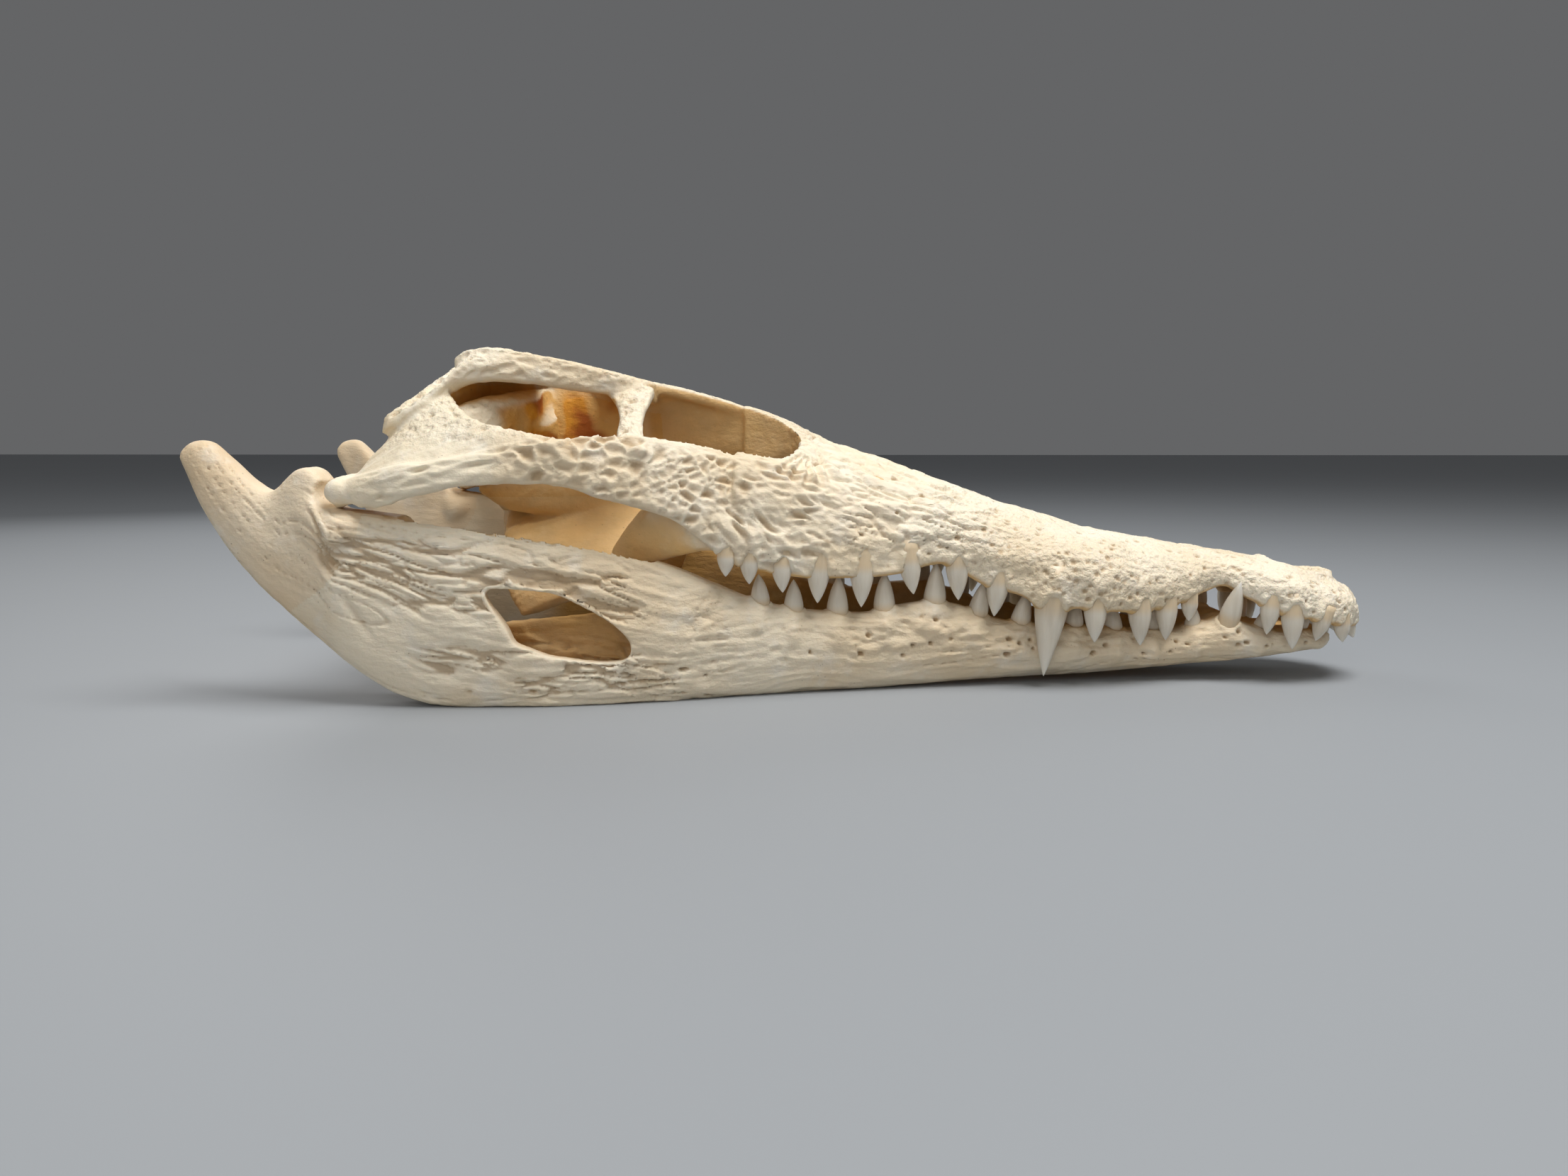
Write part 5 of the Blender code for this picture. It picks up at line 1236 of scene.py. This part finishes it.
def bone(name, light, warm, amber, fibres):
    """Dry bone: cream outside, browner in pits as painted shade, amber mixed with painted shade where
    little air reaches it, and small dark specks as painted shade of tiny holes.
    """
    m = Nodes(name)
    colour = m.mix(m.between(m.noise(22, 5), 0.36, 0.66), light, warm)
    colour = m.mix(m.times(m.between(m.noise(80, 6, 0.6), 0.5, 0.74), 0.5), colour, (0.86, 0.81, 0.71))
    lines = m.between(m.noise(55, 8, 0.65, (0.3, 1, 1)), 0.52, 0.74)
    colour = m.mix(m.times(lines, 0.34), colour, (0.62, 0.48, 0.3))
    # Amber mixed with painted shade, for what lies inside, faces down or gets little air.
    deep = m.mix(m.between(m.noise(46, 5, 0.6), 0.34, 0.68), amber, tuple(c * 0.76 for c in amber))
    deep = m.mix(m.times(m.between(m.noise(90, 6, 0.6), 0.55, 0.75), 0.5), deep, (0.74, 0.52, 0.24))
    patch = m.between(m.noise(36, 3), 0.25, 0.75, 0.8, 1.0)
    colour = m.mix(m.times(m.mark("amber"), patch), colour, deep)
    # Painted shade: browner the deeper a pit, crack or small hole.
    colour = m.mix(m.times(m.between(m.mark("pit_shade"), 0.12, 0.9), 0.62), colour, (0.42, 0.27, 0.13))
    orange = m.mix(m.between(m.noise(60, 5), 0.4, 0.62), (0.36, 0.085, 0.006), (0.74, 0.33, 0.03))
    colour = m.mix(m.mark("stain"), colour, orange)
    # Painted shade: small dark specks for the shade inside tiny holes in the bone.
    hole_shade_specks = m.times(m.between(m.cells(380), 0.14, 0.05), m.between(m.noise(70, 2), 0.54, 0.64))
    colour = m.mix(m.times(hole_shade_specks, 0.55), colour, (0.2, 0.12, 0.06))
    m.link(colour, m.shader.inputs["Base Color"])
    m.link(m.between(m.noise(130, 4), 0.3, 0.7, 0.52, 0.75), m.shader.inputs["Roughness"])
    normal = m.bump(m.noise(330, 6, 0.6, (0.35, 1, 1)), 0.0006 * fibres)
    rough = m.times(m.between(m.noise(520, 3, 0.5), 0.3, 0.7), m.mark("grain"))
    normal = m.bump(rough, 0.0004, normal)
    normal = m.bump(m.noise(1700, 3), 0.00007, normal)
    m.link(normal, m.shader.inputs["Normal"])
    m.shader.inputs["Subsurface Weight"].default_value = 0.12
    m.shader.inputs["Subsurface Scale"].default_value = 0.003
    m.shader.inputs["Subsurface Radius"].default_value = (1.0, 0.6, 0.35)
    m.shader.inputs["Specular IOR Level"].default_value = 0.3
    return m.made


def enamel(name):
    """Grey white crowns with fine lines along them, and roots as yellow as the bone."""
    m = Nodes(name)
    crown = m.mark("crown")
    colour = m.mix(m.between(crown, 0.02, 0.3), (0.74, 0.58, 0.38), (0.76, 0.69, 0.57))
    colour = m.mix(m.between(crown, 0.55, 1.0, 0.0, 0.7), colour, (0.82, 0.78, 0.69))
    streaks = m.between(m.noise(260, 4, 0.5, (1, 1, 0.08)), 0.45, 0.72)
    colour = m.mix(m.times(streaks, 0.4), colour, (0.5, 0.42, 0.31))
    m.link(colour, m.shader.inputs["Base Color"])
    m.link(m.between(m.noise(300, 3), 0.3, 0.7, 0.28, 0.45), m.shader.inputs["Roughness"])
    normal = m.bump(m.noise(700, 4, 0.5, (1, 1, 0.1)), 0.00025)
    m.link(normal, m.shader.inputs["Normal"])
    m.shader.inputs["Subsurface Weight"].default_value = 0.15
    m.shader.inputs["Subsurface Scale"].default_value = 0.003
    m.shader.inputs["Subsurface Radius"].default_value = (1.0, 0.75, 0.5)
    return m.made


def plain(name, colour, roughness):
    """An even pale surface with a little variation, for the floor."""
    m = Nodes(name)
    low = tuple(c * 0.985 for c in colour)
    m.link(m.mix(m.between(m.noise(3, 4), 0.3, 0.7), low, colour), m.shader.inputs["Base Color"])
    m.shader.inputs["Roughness"].default_value = roughness
    return m.made


def build_cranium():
    """The whole upper skull as one skin, opened and eased."""
    arch = [squamosal(), postorbital_bar(), cheek_arch(), cheek_floor()]
    arch += quadrate() + ectopterygoid() + [occiput()] + pterygoid()
    solids = [snout(), frontal(), skull_table(), braincase(), palatine_bar(), naris_rim()]
    solids += condyle_and_tubera() + both(arch)
    cranium = new_object("cranium", solids)
    fuse(cranium, VOXEL, 6)
    openings = new_object("openings", cranium_openings())
    fuse(openings, OPEN_VOXEL, 5)
    cut(cranium, openings)
    fuse(cranium, VOXEL, 6)
    return cranium


def build_jaw():
    """The left side of the lower jaw as one skin, opened and eased."""
    jaw = new_object("jaw", [ramus(), articular()])
    fuse(jaw, VOXEL, 6)
    for solid in jaw_openings():
        cutter = new_object("opening", [solid])
        fuse(cutter, OPEN_VOXEL, 1)
        cut(jaw, cutter)
    fuse(jaw, VOXEL, 6)
    return jaw


def mirror_object(obj):
    """A copy on the other side of the animal."""
    other = placed(obj.name + "_other", obj.data.copy())
    form = bmesh.new()
    form.from_mesh(other.data)
    for vert in form.verts:
        vert.co.y = -vert.co.y
    bmesh.ops.reverse_faces(form, faces=form.faces)
    form.to_mesh(other.data)
    form.free()
    return other


def coarse_whole(objects):
    """Both jaws as one coarse form, to feel for open air with."""
    form = bmesh.new()
    for obj in objects:
        form.from_mesh(obj.data)
    mesh = bpy.data.meshes.new("whole")
    form.to_mesh(mesh)
    form.free()
    whole = placed("whole", mesh)
    fuse(whole, COARSE, 1)
    return whole


random.seed(11)
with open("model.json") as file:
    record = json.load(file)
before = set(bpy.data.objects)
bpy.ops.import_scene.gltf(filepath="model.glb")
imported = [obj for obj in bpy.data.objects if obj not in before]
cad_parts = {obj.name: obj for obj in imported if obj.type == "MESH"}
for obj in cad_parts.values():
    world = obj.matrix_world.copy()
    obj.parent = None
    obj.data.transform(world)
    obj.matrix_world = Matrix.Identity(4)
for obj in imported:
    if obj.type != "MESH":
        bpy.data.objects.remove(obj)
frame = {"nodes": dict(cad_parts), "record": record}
cad_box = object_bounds()
slot_of = {row["node"]: row["material_slot"] for row in frame["record"]["subparts"]}

upper_teeth, lower_teeth = tooth_rows()
cranium_obj, left_obj = build_cranium(), build_jaw()
right_obj = mirror_object(left_obj)
whole = coarse_whole((cranium_obj, left_obj, right_obj))
cranium, left, right = Skin(cranium_obj), Skin(left_obj), Skin(right_obj)
openness((cranium, left, right), whole)
sculpt_cranium(cranium, upper_teeth)
sculpt_jaw(left, [t for t in lower_teeth if t[0][1] > 0], 1, 200)
sculpt_jaw(right, [t for t in lower_teeth if t[0][1] < 0], -1, 300)
for skin in (cranium, left, right):
    stains_and_shade(skin, skin is not cranium)

low, high = (np.array(c) / MM for c in cad_box)
for skin in (cranium, left, right):
    skin.points = np.clip(skin.points, low - MOVE + 0.02, high - MOVE - 0.02)

jaw_bones = ("dentary", "surangular", "articular")
made = skin_pieces(cranium, [name for name in slot_of if not name.startswith(jaw_bones)])
for skin, word in ((left, "left"), (right, "right")):
    made += skin_pieces(skin, [f"{name}_{word}" for name in jaw_bones])
# For each slot: the light and warm colours outside, the amber mixed with painted shade inside, and how
# strong the fibres are.
bones = {slot: bone(slot + "_look", *look) for slot, look in (
    ("ivory_bone", ((0.88, 0.775, 0.6), (0.8, 0.66, 0.46), (0.78, 0.47, 0.16), 1.0)),
    ("pale_bone", ((0.86, 0.76, 0.58), (0.8, 0.66, 0.45), (0.8, 0.48, 0.15), 0.7)),
    ("amber_bone", ((0.85, 0.74, 0.55), (0.78, 0.63, 0.41), (0.78, 0.42, 0.09), 0.8)),
    ("jaw_bone", ((0.87, 0.76, 0.58), (0.78, 0.63, 0.43), (0.58, 0.32, 0.08), 1.2)),
    ("joint_bone", ((0.83, 0.69, 0.5), (0.77, 0.59, 0.38), (0.62, 0.36, 0.12), 0.8)))}
for piece in made:
    piece.data.materials.append(bones[piece["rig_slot"]])
enamel_look = enamel("enamel_look")
for title, teeth, nodes in (("teeth_upper", upper_teeth, ("maxillae", "premaxillae")),
                            ("teeth_lower", lower_teeth, ("dentary_left", "dentary_right"))):
    teeth_piece(title, teeth, nodes).data.materials.append(enamel_look)

floor_mesh = bpy.data.meshes.new("floor")
floor_mesh.from_pydata([(-6, -6, 0), (6, -6, 0), (6, 6, 0), (-6, 6, 0)], [], [(0, 1, 2, 3)])
floor_mesh.materials.append(plain("floor_look", (0.3, 0.315, 0.33), 0.6))
floor = placed("floor", floor_mesh)

world = bpy.data.worlds.new("soft_room")
world.use_nodes = True
world.node_tree.nodes["Background"].inputs["Color"].default_value = (0.8, 0.81, 0.83, 1)
world.node_tree.nodes["Background"].inputs["Strength"].default_value = 0.16
bpy.context.scene.world = world
for place, size, power in (((0.3, -0.2, 1.1), 0.6, 14.5), ((-0.3, -1.1, 0.6), 0.8, 3.4),
                           ((-0.6, 0.7, 0.6), 0.7, 2.5)):
    light = bpy.data.lights.new("soft_light", "AREA")
    light.size = size
    light.energy = power
    lamp = placed("soft_light", light)
    lamp.location = place
    lamp.rotation_euler = (Vector((0, 0, 0.05)) - Vector(place)).to_track_quat("-Z", "Y").to_euler()

bpy.context.scene.view_settings.view_transform = "Standard"
# The camera that the photograph was solved for: its focal length in pixels, turn, tilt and place.
photo_width, focal_pixels = 2212, 1600
yaw, pitch = -0.0362076, 0.1309255
stand = Vector((0.0066236, -0.4445266, 0.0909284))
camera = placed("camera", bpy.data.cameras.new("camera"))
camera.data.sensor_width = 36
camera.data.lens = 36 * focal_pixels / photo_width
camera.data.clip_start = 0.01
ahead = Vector((math.sin(yaw) * math.cos(pitch), math.cos(yaw) * math.cos(pitch), -math.sin(pitch)))
aside = Vector((math.cos(yaw), -math.sin(yaw), 0))
turn = Matrix((aside, aside.cross(ahead), -ahead)).transposed().to_4x4()
turn.translation = stand + Vector(MOVE) * MM
camera.matrix_world = turn
bpy.context.scene.camera = camera
